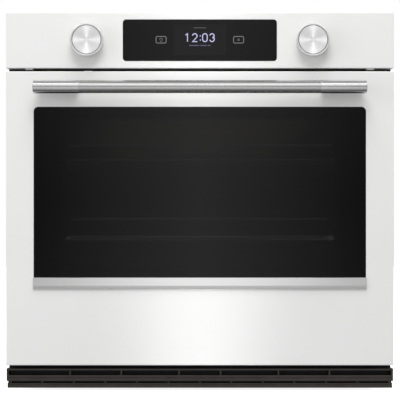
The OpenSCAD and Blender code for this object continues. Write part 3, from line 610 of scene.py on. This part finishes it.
def window_border():
    """Printed black border behind the pane, as far in as the inner window."""
    made = Solid()
    sight_x, _, sight_z = limits("inner_glass")
    hole = outline(grown(sight_x, -12 * MM), grown(sight_z, -4 * MM), 10 * MM)
    rim = outline(grown(GLASS_X, -MM), grown(GLASS_Z, -MM), 8 * MM)
    front = GLASS_Y[1] + 0.02 * MM
    back = front + 0.1 * MM
    outer = made.tube([loop(rim, 0, front), loop(rim, 0, back)])
    inner = made.tube([loop(hole, 0, front), loop(hole, 0, back)])
    made.cap(outer[0], inner[0])
    made.cap(outer[1], inner[1])
    made.piece("window_border", "frit", "door", (), "dark_trim")


def window_strip():
    """Steel strip below the glass: a long shallow wedge whose ridge is rounded over."""
    depth = FACE_Y - STRIP_Y[0]
    top, foot = STRIP_Z[1], STRIP_Z[0]
    ridge = foot + 6.4 * MM
    profile = [(0.0, top), (-1.0 * MM, top), (-1.4 * MM, top - 0.4 * MM)]
    profile += [(-depth + 0.25 * MM, ridge + 1.1 * MM), (-depth, ridge + 0.2 * MM)]
    profile += [(-depth + 0.15 * MM, ridge - 0.8 * MM), (-3.2 * MM, foot + 0.5 * MM)]
    profile += [(-2.7 * MM, foot), (0.0, foot)]
    middle_z = (top + foot) / 2
    made = Solid()
    rings = []
    for side in SIDES:
        for inset, shrink in ((0.0, 0.9), (0.35 * MM, 0.97), (1.0 * MM, 1.0))[::-side]:
            x = side * (STRIP_X[1] - inset)
            rings.append([(x, FACE_Y + y * shrink, middle_z + (z - middle_z) * (0.5 + shrink / 2))
                          for y, z in profile])
    near, far = made.tube(rings)
    made.cap(near)
    made.cap(far)
    made.piece("window_strip", "strip", "door", ["window_trim"], "brushed_steel", angle=25)


# ---------------------------------------------------------------- handle

SLEEVE_LENGTH = 89 * MM
POST_FROM_END = 46.5 * MM
POST_SIZE = (80 * MM, 18 * MM)
POST_CORNER = 8 * MM


def handle():
    """Brushed bar, and a polished sleeve with its post at each end."""
    bar = Solid()
    half = BAR_X[1]
    turned(bar, [(BAR_R - 0.5 * MM, -half), (BAR_R, 0.5 * MM - half), (BAR_R, half - 0.5 * MM),
                 (BAR_R - 0.5 * MM, half)], (0, HANDLE_Y, HANDLE_Z), "x")
    bar.piece("handle_tube", "handle", "door", ["handle_bar"], "brushed_steel")
    for name, side in NAMED_SIDES:
        mount = Solid()
        sleeve(mount, side)
        post(mount, side)
        mount.piece(name + "_handle_mount", "sleeve", "door",
                    ["handle_mounts"] if side < 0 else (), "brushed_steel", angle=30)


def sleeve(mount, side):
    """The polished sleeve on one end of the bar, with a rounded end."""
    r = (MOUNT_Z[1] - MOUNT_Z[0]) / 2
    end = MOUNT_X[1]
    start = end - SLEEVE_LENGTH
    profile = [(BAR_R - 0.2 * MM, start + 0.4 * MM), (BAR_R + 0.15 * MM, start)]
    profile += [(r - 0.25 * MM, start + 0.1 * MM), (r, start + 0.5 * MM)]
    profile += arc((r - 1.6 * MM, end - 1.6 * MM), 1.6 * MM, 0, 80)
    profile += [(r - 4 * MM, end), (0.5 * MM, end)]
    turned(mount, [(radius, side * along) for radius, along in profile], (0, HANDLE_Y, HANDLE_Z), "x")


def post(mount, side):
    """The post from the sleeve to the door, with a small flare where it stands on the door."""
    x = side * (MOUNT_X[1] - POST_FROM_END)
    width, height = POST_SIZE
    shape = outline((x - width / 2, x + width / 2), (HANDLE_Z - height / 2, HANDLE_Z + height / 2),
                    POST_CORNER)
    flare = ((0.02, 1.6), (0.7, 1.6), (1.3, 1.2), (2.0, 0.4), (3.2, 0.0))
    rings = [loop(shape, -grow * MM, FACE_Y - ahead * MM) for ahead, grow in flare]
    rings.append(loop(shape, 0, HANDLE_Y))
    near, far = mount.tube(rings)
    mount.cap(near)
    mount.cap(far)


# ---------------------------------------------------------------- knobs

KNOB_R = (RING_Z[1] - RING_Z[0]) / 2
KNOB_DEPTH = RING_Y[1] - RING_Y[0]
FACE_R = (DISC_Z[1] - DISC_Z[0]) / 2
SEAT_R = FACE_R + 0.9 * MM
SEAT_DEPTH = 4 * MM
RIM_ROUND = 1.7 * MM
KNOB_STEPS = 128


def knobs():
    """Each knob: a polished ring with a recessed seat, and a spun disc a hair below its rim."""
    for name, side in NAMED_SIDES:
        centre = (side * KNOB_X, RING_Y[0], PANEL_MID)
        knob_rim(name, centre)
        knob_insert(name, centre)
        knob_face(name, centre)
    knob_lights()


def knob_rim(name, centre):
    """The ring: a rounded front rim, a waist near the panel and a hollow back."""
    made = Solid()
    r, depth = KNOB_R, KNOB_DEPTH
    profile = [(0.2 * MM, SEAT_DEPTH), (SEAT_R, SEAT_DEPTH), (SEAT_R, 1.6 * MM)]
    profile += arc((SEAT_R + 0.6 * MM, 0.75 * MM), 0.6 * MM, 180, 270, 4)
    profile += arc((r - RIM_ROUND, RIM_ROUND), RIM_ROUND, -90, 0, 6)
    profile += [(r, depth - 2.4 * MM), (r - 0.5 * MM, depth - 1.9 * MM)]
    profile += [(r - 0.9 * MM, depth - 1.0 * MM)]
    profile += arc((r - 2.4 * MM, depth - 1.0 * MM), 1.0 * MM, 0, 90, 4)
    profile += [(r - 4 * MM, depth), (r - 4 * MM, 7 * MM), (9 * MM, 7 * MM), (9 * MM, depth - MM),
                (3.2 * MM, depth - MM), (3.2 * MM, depth - 2 * MM), (0.2 * MM, depth - 2 * MM)]
    turned(made, profile, centre, "y", KNOB_STEPS)
    made.piece(name + "_knob_rim", "knob_ring", name + "_knob", [name + "_knob_ring"], "knob_metal",
               origin=centre)


def knob_insert(name, centre):
    """The dark seat that shows as a fine groove between the ring and the disc."""
    made = Solid()
    profile = [(0.3 * MM, SEAT_DEPTH), (SEAT_R - 0.02 * MM, SEAT_DEPTH), (SEAT_R - 0.02 * MM, 1.7 * MM),
               (FACE_R - 0.3 * MM, 1.7 * MM), (FACE_R - 0.5 * MM, 3.95 * MM), (0.3 * MM, 3.95 * MM)]
    turned(made, profile, centre, "y", KNOB_STEPS)
    made.piece(name + "_knob_insert", "black", name + "_knob", (), "black_plastic", origin=centre)


def knob_face(name, centre):
    """The spun disc, slightly dished, with a rounded edge."""
    made = Solid()
    flat = FACE_R - 0.9 * MM
    dish = [(flat - 27 * MM * i / 9, 0.3 * MM + 0.8 * MM * math.sin(i / 9 * math.pi / 2))
            for i in range(9)]
    profile = [(0.3 * MM, 3.9 * MM), (FACE_R - 0.6 * MM, 3.9 * MM), (FACE_R, 3.2 * MM),
               (FACE_R, 1.2 * MM)]
    profile += arc((flat, 1.2 * MM), 0.9 * MM, 0, -90, 5)[1:-1] + dish
    profile += [(0.3 * MM, 1.1 * MM)]
    turned(made, profile, centre, "y", KNOB_STEPS)
    made.piece(name + "_knob_face", "knob_disc", name + "_knob", [name + "_knob_disc"], "knob_metal",
               origin=centre)


# ---------------------------------------------------------------- display

PANE_FACE = SHOW_Y[0]
SCREEN_FACE = PANE_FACE - 0.03 * MM
CLOCK_HEIGHT = 15.4 * MM
CLOCK_FOOT = PANEL_MID - 2.6 * MM
NOTE_FOOT = CLOCK_FOOT - 7.6 * MM
KEY_X = 75.5 * MM
STROKE_THICKNESS = 0.08 * MM
KEY_Z = PANEL_MID + 1.0 * MM


def ribbon(solid, points, width, y, closed=False):
    """A flat stroke of even width along upright points (x, z), raised a hair from depth y."""
    n = len(points)
    left, right = [], []
    for i, (x, z) in enumerate(points):
        before = points[i - 1] if (closed or i) else None
        after = points[(i + 1) % n] if (closed or i < n - 1) else None
        ways = [Vector((b[0] - a[0], b[1] - a[1])).normalized()
                for a, b in ((before, (x, z)), ((x, z), after)) if a and b]
        way = sum(ways, Vector((0, 0))).normalized()
        side = Vector((-way.y, way.x))
        stretch = min(1 / max(side.dot(Vector((-ways[0].y, ways[0].x))), 0.3), 2.0)
        left.append((x + side.x * width / 2 * stretch, z + side.y * width / 2 * stretch))
        right.append((x - side.x * width / 2 * stretch, z - side.y * width / 2 * stretch))
    grid = [[solid.bm.verts.new((px, depth, pz)) for px, pz in row]
            for row in (left, right) for depth in (y - STROKE_THICKNESS, y)]
    lf, lb, rf, rb = grid
    for i in range(n if closed else n - 1):
        j = (i + 1) % n
        for a, b in ((lf, rf), (rf, rb), (rb, lb), (lb, lf)):
            solid.bm.faces.new((a[i], a[j], b[j], b[i]))
    if not closed:
        for i in (0, n - 1):
            solid.bm.faces.new((lf[i], rf[i], rb[i], lb[i]))


def path(centre, radius, start, end, steps=14, squash=1.0):
    """Points of an upright arc, which may be taller or flatter than a circle."""
    turns = [math.radians(start + (end - start) * i / steps) for i in range(steps + 1)]
    return [(centre[0] + radius * math.cos(a), centre[1] + radius * squash * math.sin(a)) for a in turns]


def digit_strokes(digit, x, z, height):
    """Strokes of a plain digit whose lower left corner is at x, z."""
    w = height * 0.58
    if digit == "1":
        return [[(x + w * 0.18, z + height * 0.82), (x + w * 0.62, z + height), (x + w * 0.62, z)]]
    if digit == "2":
        bow = path((x + w / 2, z + height - w / 2), w / 2, 172, -38)
        return [bow + [(x + w * 0.02, z), (x + w * 1.04, z)]]
    if digit == "3":
        top = path((x + w / 2, z + height - w * 0.5), w * 0.47, 165, -75, 14, 1.06)
        low = path((x + w / 2, z + w * 0.53), w * 0.5, 75, -165, 14, 1.06)
        return [top, low]
    if digit == "0":
        ring = path((x + w / 2, z + height - w / 2), w / 2, 0, 180)
        return [ring + path((x + w / 2, z + w / 2), w / 2, 180, 360)]
    return [path((x, z + height * share), 0.55 * MM, 0, 330, 11) for share in (0.2, 0.72)]


def display():
    """Black glass with the lit screen's clock, a note line, a menu bar and two touch keys."""
    made = Solid()
    plate_of(made, outline(SHOW_X, SHOW_Z, 6.25 * MM), SHOW_Y[0], SHOW_Y[1], 0.5 * MM)
    made.piece("display_pane", "display", "chassis", ["display_glass"], "display_glass")
    screen = Solid()
    plate_of(screen, outline((-51 * MM, 51 * MM), (PANEL_MID - 28.6 * MM, PANEL_MID + 31 * MM), 2 * MM),
             SCREEN_FACE, PANE_FACE + 0.2 * MM, 0.01 * MM)
    screen.piece("display_screen", "screen", "chassis", (), "screen")
    clock()
    note_line()
    touch_marks()


def clock():
    made = Solid()
    for digit, x in (("1", -29.6), ("2", -14.3), (":", 0.9), ("0", 5.4), ("3", 19.2)):
        width = 1.2 * MM if digit == ":" else 1.9 * MM
        for stroke in digit_strokes(digit, x * MM, CLOCK_FOOT, CLOCK_HEIGHT):
            points = stroke[:-1] if digit == "0" else stroke
            ribbon(made, points, width, SCREEN_FACE, digit in "0:")
    made.piece("clock_digits", "digits", "chassis", (), "screen")


def note_line():
    """Short plain strokes, tall and low, in place of the line under the clock."""
    made = Solid()
    tall_tops = {"t": 1.5, "h": 1.5, "d": 1.3}
    for i, mark in enumerate("tllslsll mllsh dd"):
        if mark == " ":
            continue
        x = (i * 2.4 - 19.8) * MM
        top = tall_tops.get(mark, 0.9) * MM
        low, shelf = NOTE_FOOT - 0.9 * MM, NOTE_FOOT + 0.5 * MM
        ribbon(made, [(x, low), (x, NOTE_FOOT + top)], 0.8 * MM, SCREEN_FACE)
        ribbon(made, [(x, shelf), (x + 1.3 * MM, shelf), (x + 1.3 * MM, low)], 0.6 * MM, SCREEN_FACE)
    made.piece("note_line", "note", "chassis", (), "screen")


def touch_marks():
    """The menu bar above the clock, and a framed touch key on each side with its own sign."""
    made = Solid()
    bar_z = PANEL_MID + 24.2 * MM
    ribbon(made, [(-12 * MM, bar_z), (12 * MM, bar_z)], 0.8 * MM, SCREEN_FACE)
    for side in SIDES:
        x = side * KEY_X
        border = outline((x - 9.8 * MM, x + 9.8 * MM), (KEY_Z - 6.4 * MM, KEY_Z + 6.4 * MM), 2.6 * MM)
        ribbon(made, [(px, pz) for px, _, pz in loop(border, 0, 0)], 1.5 * MM, PANE_FACE, True)
        if side < 0:
            strokes = [path((x, KEY_Z + 0.6 * MM), 2.5 * MM, -50, 230),
                       [(x - 2.2 * MM, KEY_Z - 3.2 * MM), (x + 2.2 * MM, KEY_Z - 3.2 * MM)]]
        else:
            strokes = [[(x - 2 * MM, KEY_Z - lean * 2 * MM), (x + 2 * MM, KEY_Z + lean * 2 * MM)]
                       for lean in SIDES]
        for stroke in strokes:
            ribbon(made, stroke, 0.9 * MM, PANE_FACE)
    made.piece("touch_marks", "marks", "chassis", (), "screen")


# ---------------------------------------------------------------- oven cavity and door lining

def cavity():
    """Pressed oven liner: rounded corners, a rolled mouth and holes in its back wall."""
    made = Solid()
    sheet = 1.2 * MM
    flange = 6 * MM
    corner = 14 * MM
    mouth, back = CAVITY_Y[0], CAVITY_Y[1] - sheet
    shape = outline((CAVITY_X[0] + flange + sheet, CAVITY_X[1] - flange - sheet),
                    (CAVITY_Z[0] + flange + sheet, CAVITY_Z[1] - flange - sheet), corner)
    roll = 3 * MM
    inner = [loop(shape, -sheet - flange, mouth), loop(shape, -roll, mouth)]
    inner += [loop(shape, -roll * (1 - math.sin(a)), mouth + roll * (1 - math.cos(a)))
              for a in (0.5, 1.0, math.pi / 2)]
    bend = quarter(corner, corner, 6)[::-1]
    inner += [loop(shape, d, back - t) for d, t in bend]
    outer = [loop(shape, max(d - sheet, -sheet), back + sheet - t) for d, t in bend[::-1]]
    outer += [loop(shape, -sheet, back - corner), loop(shape, -sheet, mouth + sheet + 0.5 * MM),
              loop(shape, -sheet - 1 * MM, mouth + sheet), loop(shape, -sheet - flange, mouth + sheet)]
    front_ring, inner_back = made.tube(inner)
    outer_back, rear_ring = made.tube(outer)
    made.band(front_ring, rear_ring)
    fan_x, _, fan_z = (sum(pair) / 2 for pair in limits("fan_motor"))
    lamp_x, _, lamp_z = (sum(pair) / 2 for pair in limits("lamp_holder"))
    probe_x, _, probe_z = (sum(pair) / 2 for pair in limits("temperature_probe"))
    broil_z = sum(limits("broil_element")[2]) / 2
    lead_x = 192.5 * MM
    holes = [(fan_x, fan_z, 12), (lamp_x, lamp_z, 26.3), (probe_x, probe_z, 4),
             (-lead_x, broil_z, 4.5), (lead_x, broil_z, 4.5)]
    nears, fars = [inner_back], [outer_back]
    for x, z, r in holes:
        near, far = made.tube([loop(disc_outline(x, z, r * MM), 0, y) for y in (back, back + sheet)])
        nears.append(near)
        fars.append(far)
    made.cap(*nears)
    made.cap(*fars)
    made.piece("oven_liner", "enamel", "chassis", ["cavity_liner"], "oven_enamel", angle=30)


PAN_X = (-345 * MM, 345 * MM)
PAN_Z = (60 * MM, 580 * MM)
LATCH_SLOT_X = (-7 * MM, 50 * MM)
LATCH_SLOT_Z = (566.5 * MM, 573.5 * MM)


def door_lining():
    """Enamelled inner pan of the door with a raised field, its window opening and a flat flange."""
    made = Solid()
    sheet = 1.2 * MM
    face = LINER_Y[1]
    flange_y = DOOR_Y[1] - 1 * MM
    pan = outline(PAN_X, PAN_Z, 24 * MM)
    flange = outline(LINER_X, LINER_Z, 3 * MM)
    sight_x, _, sight_z = limits("inner_glass")
    sight = outline(grown(sight_x, -12 * MM), grown(sight_z, -6 * MM), 12 * MM)
    slot = outline(LATCH_SLOT_X, LATCH_SLOT_Z, 1 * MM)
    edge = 4 * MM
    inner_edge = edge - sheet
    rings = [loop(pan, d, face - t) for d, t in quarter(edge, edge)]
    rings += [loop(pan, 0, flange_y + 2 * MM), loop(pan, -0.6 * MM, flange_y + 0.6 * MM),
              loop(pan, -2 * MM, flange_y), loop(flange, 0, flange_y), loop(flange, 0, flange_y - sheet)]
    rings += [loop(pan, -2 * MM + sheet, flange_y - sheet), loop(pan, sheet, flange_y)]
    rings += [loop(pan, sheet, face - edge)]
    rings += [loop(pan, sheet + d, face - sheet - t)
              for d, t in reversed(quarter(inner_edge, inner_edge))]
    near, far = made.tube(rings)
    nears, fars = [near], [far]
    for hole, rim in ((sight, 1.0 * MM), (slot, 0.3 * MM)):
        flare = [loop(hole, -d, face - t) for d, t in quarter(rim, rim)]
        near, far = made.tube(flare + [loop(hole, 0, face - sheet)])
        nears.append(near)
        fars.append(far)
    made.cap(*nears)
    made.cap(*fars)
    made.piece("door_inner_pan", "enamel", "door", ["door_liner"], "oven_enamel", angle=30)


# ---------------------------------------------------------------- casing screws

UPWARDS = Vector((0, 0, 1))
BACKWARDS = Vector((0, 1, 0))


def screw_places():
    """Each casing screw's place and the way that its head looks."""
    side_x = limits("right_side_panel")[0][1]
    _, (_, back), (_, top) = limits("top_cover")
    places = []
    for side in SIDES:
        out = Vector((side, 0, 0))
        for z in (40, 200, 360, 520, 650):
            places.append((Vector((side * side_x, 20 * MM, z * MM)), out))
            places.append((Vector((side * side_x, back - 12 * MM, z * MM)), out))
        for y in (60, 230, 400, 560):
            places.append((Vector((side * (side_x - 10 * MM), y * MM, top)), UPWARDS))
        for z in (30, 190, 350, 510, 660):
            places.append((Vector((side * (side_x - 10 * MM), back, z * MM)), BACKWARDS))
    for x in (-300, -150, 0, 150, 300):
        places.append((Vector((x * MM, 14 * MM, top)), UPWARDS))
        places.append((Vector((x * MM, back, top - 10 * MM)), BACKWARDS))
        places.append((Vector((x * MM, back, 12 * MM)), BACKWARDS))
    return places


def screw_head(solid, place, way):
    """A hexagon on a round washer, as rings of (radius, height) in millimetres."""
    up = UPWARDS if abs(way.z) < 0.5 else BACKWARDS
    across = way.cross(up)
    turns = [2 * math.pi * i / 18 for i in range(18)]

    def ring(radius, height, hexagonal):
        points = []
        for a in turns:
            flat = 1.0
            if hexagonal:
                flat = math.cos(math.pi / 6) / math.cos((a + math.pi / 6) % (math.pi / 3) - math.pi / 6)
            spot = (across * math.cos(a) + up * math.sin(a)) * radius * flat * MM
            points.append(place + spot + way * height * MM)
        return points

    rings = [ring(radius, height, False) for radius, height in ((4.2, 0.0), (4.2, 0.4), (3.9, 0.6))]
    rings += [ring(radius, height, True) for radius, height in ((3.0, 0.6), (3.0, 1.6), (2.6, 1.95))]
    near, far = solid.tube(rings)
    solid.cap(near)
    solid.cap(far)


def hex_screws():
    """Hex washer-head sheet-metal screws along the casing's seams."""
    made = Solid()
    for place, way in screw_places():
        screw_head(made, place, way)
    made.piece("casing_screws", "plated", "chassis", (), "plated_steel", angle=25, weighted=False)


# ---------------------------------------------------------------- camera, stage and light

SENSOR = 36.0
VIEW_DISTANCE = 4.3
VIEW_X = 0.0003
VIEW_WIDTH = 0.7796
VIEW_HEIGHT = 0.3343
MIDDLE = (0, FACE_Y, VIEW_HEIGHT)
MIDDLE_LOW = (0, FACE_Y, 0.2)
# What shiny surfaces see at each height, from straight down (-1) to straight up (1).
SKY = ((-1.0, 0.14), (-0.92, 0.15), (-0.78, 0.36), (-0.55, 0.52), (-0.3, 0.66), (0.0, 0.19), (0.3, 0.78),
       (0.42, 0.55), (0.5, 0.15), (0.68, 2.8), (0.84, 0.5), (1.0, 0.5))
SKY_TOP = 3.0
# The tall band straight ahead of the oven: its share at each height, its level and its half width.
AHEAD = ((-1.0, 0.0), (-0.7, 0.0), (-0.5, 1.0), (0.16, 1.05), (0.28, 2.4), (0.5, 1.2), (0.65, 0.0),
         (1.0, 0.0))
AHEAD_TOP = 2.4
AHEAD_LEVEL = 0.55
AHEAD_WIDTH = 0.074
FILL = 0.72


def set_camera():
    data = bpy.data.cameras.new("camera")
    data.sensor_width = SENSOR
    data.lens = SENSOR * VIEW_DISTANCE / VIEW_WIDTH
    made = bpy.data.objects.new("camera", data)
    made.location = (VIEW_X, FACE_Y - VIEW_DISTANCE, VIEW_HEIGHT)
    made.rotation_euler = (math.radians(90), 0, 0)
    bpy.context.scene.collection.objects.link(made)
    bpy.context.scene.camera = made


def floor():
    bpy.ops.mesh.primitive_plane_add(size=16, location=(0, 0, CAD_BOX[0].z - 6 * MM))
    made = bpy.context.object
    made.name = "floor"
    p = Paint("pale_floor", color=(0.9, 0.9, 0.9), rough=0.9)
    p.set(Emission_Color=(1, 1, 1, 1), Emission_Strength=0.8)
    made.data.materials.append(p.mat)
    made.visible_glossy = False
    made.visible_diffuse = False


def area(name, location, target, size, power, spread=180.0, only=()):
    """A soft rectangular light, seen by shiny surfaces only where it lights the named pieces alone."""
    data = bpy.data.lights.new(name, "AREA")
    data.shape = "RECTANGLE"
    data.size, data.size_y = size
    data.energy = power
    data.spread = math.radians(spread)
    made = bpy.data.objects.new(name, data)
    made.location = location
    aim = Vector(target) - Vector(location)
    made.rotation_euler = aim.to_track_quat("-Z", "Y").to_euler()
    made.visible_camera = False
    made.visible_glossy = bool(only)
    bpy.context.scene.collection.objects.link(made)
    if only:
        lit = bpy.data.collections.new(name + "_lights_only")
        for piece in only:
            lit.objects.link(bpy.data.objects[piece])
        made.light_linking.receiver_collection = lit


def world():
    """White to the camera; even grey to matt surfaces; bands of light and dark to shiny ones."""
    made = bpy.data.worlds.new("studio")
    made.use_nodes = True
    tree = made.node_tree
    tree.nodes.clear()

    def node(kind, *inputs, **settings):
        built = tree.nodes.new(kind)
        for key, value in settings.items():
            setattr(built, key, value)
        for socket, value in zip(built.inputs, inputs):
            if isinstance(value, bpy.types.NodeSocket):
                tree.links.new(value, socket)
            elif value is not None:
                socket.default_value = value
        return built

    coords = node("ShaderNodeTexCoord").outputs["Generated"]
    split = node("ShaderNodeSeparateXYZ", coords)
    height = node("ShaderNodeMapRange", split.outputs[2], -1.0).outputs[0]

    def by_height(stops, top):
        ramp = node("ShaderNodeValToRGB", height)
        points = ramp.color_ramp.elements
        for place, _ in stops[1:-1]:
            points.new((place + 1) / 2)
        for point, (_, level) in zip(points, stops):
            point.color = (level / top, level / top, level / top, 1)
        return node("ShaderNodeMath", ramp.outputs[0], top, operation="MULTIPLY").outputs[0]

    aside = node("ShaderNodeMath", split.outputs[0], operation="ABSOLUTE").outputs[0]
    glow = node("ShaderNodeMapRange", aside, 0.0, AHEAD_WIDTH, AHEAD_LEVEL, 0.0).outputs[0]
    ahead = node("ShaderNodeMath", split.outputs[1], 0.0, operation="LESS_THAN").outputs[0]
    shaped = node("ShaderNodeMath", glow, by_height(AHEAD, AHEAD_TOP), operation="MULTIPLY").outputs[0]
    band = node("ShaderNodeMath", shaped, ahead, operation="MULTIPLY").outputs[0]
    shiny = node("ShaderNodeMath", by_height(SKY, SKY_TOP), band, operation="ADD").outputs[0]
    ray = node("ShaderNodeLightPath").outputs
    level = node("ShaderNodeMix", ray["Is Glossy Ray"], None, FILL, shiny, data_type="FLOAT").outputs[0]
    soft = node("ShaderNodeBackground", None, level)
    white = node("ShaderNodeBackground", (1, 1, 1, 1), 1.0)
    mix = node("ShaderNodeMixShader", ray["Is Camera Ray"], soft.outputs[0], white.outputs[0])
    node("ShaderNodeOutputWorld", mix.outputs[0])
    bpy.context.scene.world = made


def lights():
    area("overhead", (0, -1.2, 4.2), (0, 0.0, 0.3), (3.0, 1.4), 68)
    area("key_high", (0, -2.9, 4.1), MIDDLE, (2.4, 1.2), 76)
    area("front_strip", (0, -0.5, 0.14), MIDDLE_LOW, (0.2, 1.1), 0.2, 36.0)
    area("left_side", (-3.2, -1.8, 0.9), MIDDLE, (1.4, 2.2), 25)
    area("behind", (0.4, 2.8, 1.8), (0, 0.3, 0.3), (2.4, 2.0), 30)
    area("oven_lamp", (0, 0.12, 0.5), (0, 0.3, 0.2), (0.4, 0.1), 0.4)


def knob_lights():
    """A soft light for each knob's turned face alone."""
    for name, side in NAMED_SIDES:
        knob = Vector((side * KNOB_X, FACE_Y, PANEL_MID))
        area(name + "_knob_light", knob + Vector((0, -1.2, 0.5)), knob, (1.0, 1.0), 1.9,
             only=(name + "_knob_face",))


set_camera()
world()
floor()
lights()
bpy.context.scene.view_settings.view_transform = "Standard"

control_panel()
door_skin()
window()
window_border()
window_strip()
handle()
knobs()
display()
cavity()
door_lining()
hex_screws()
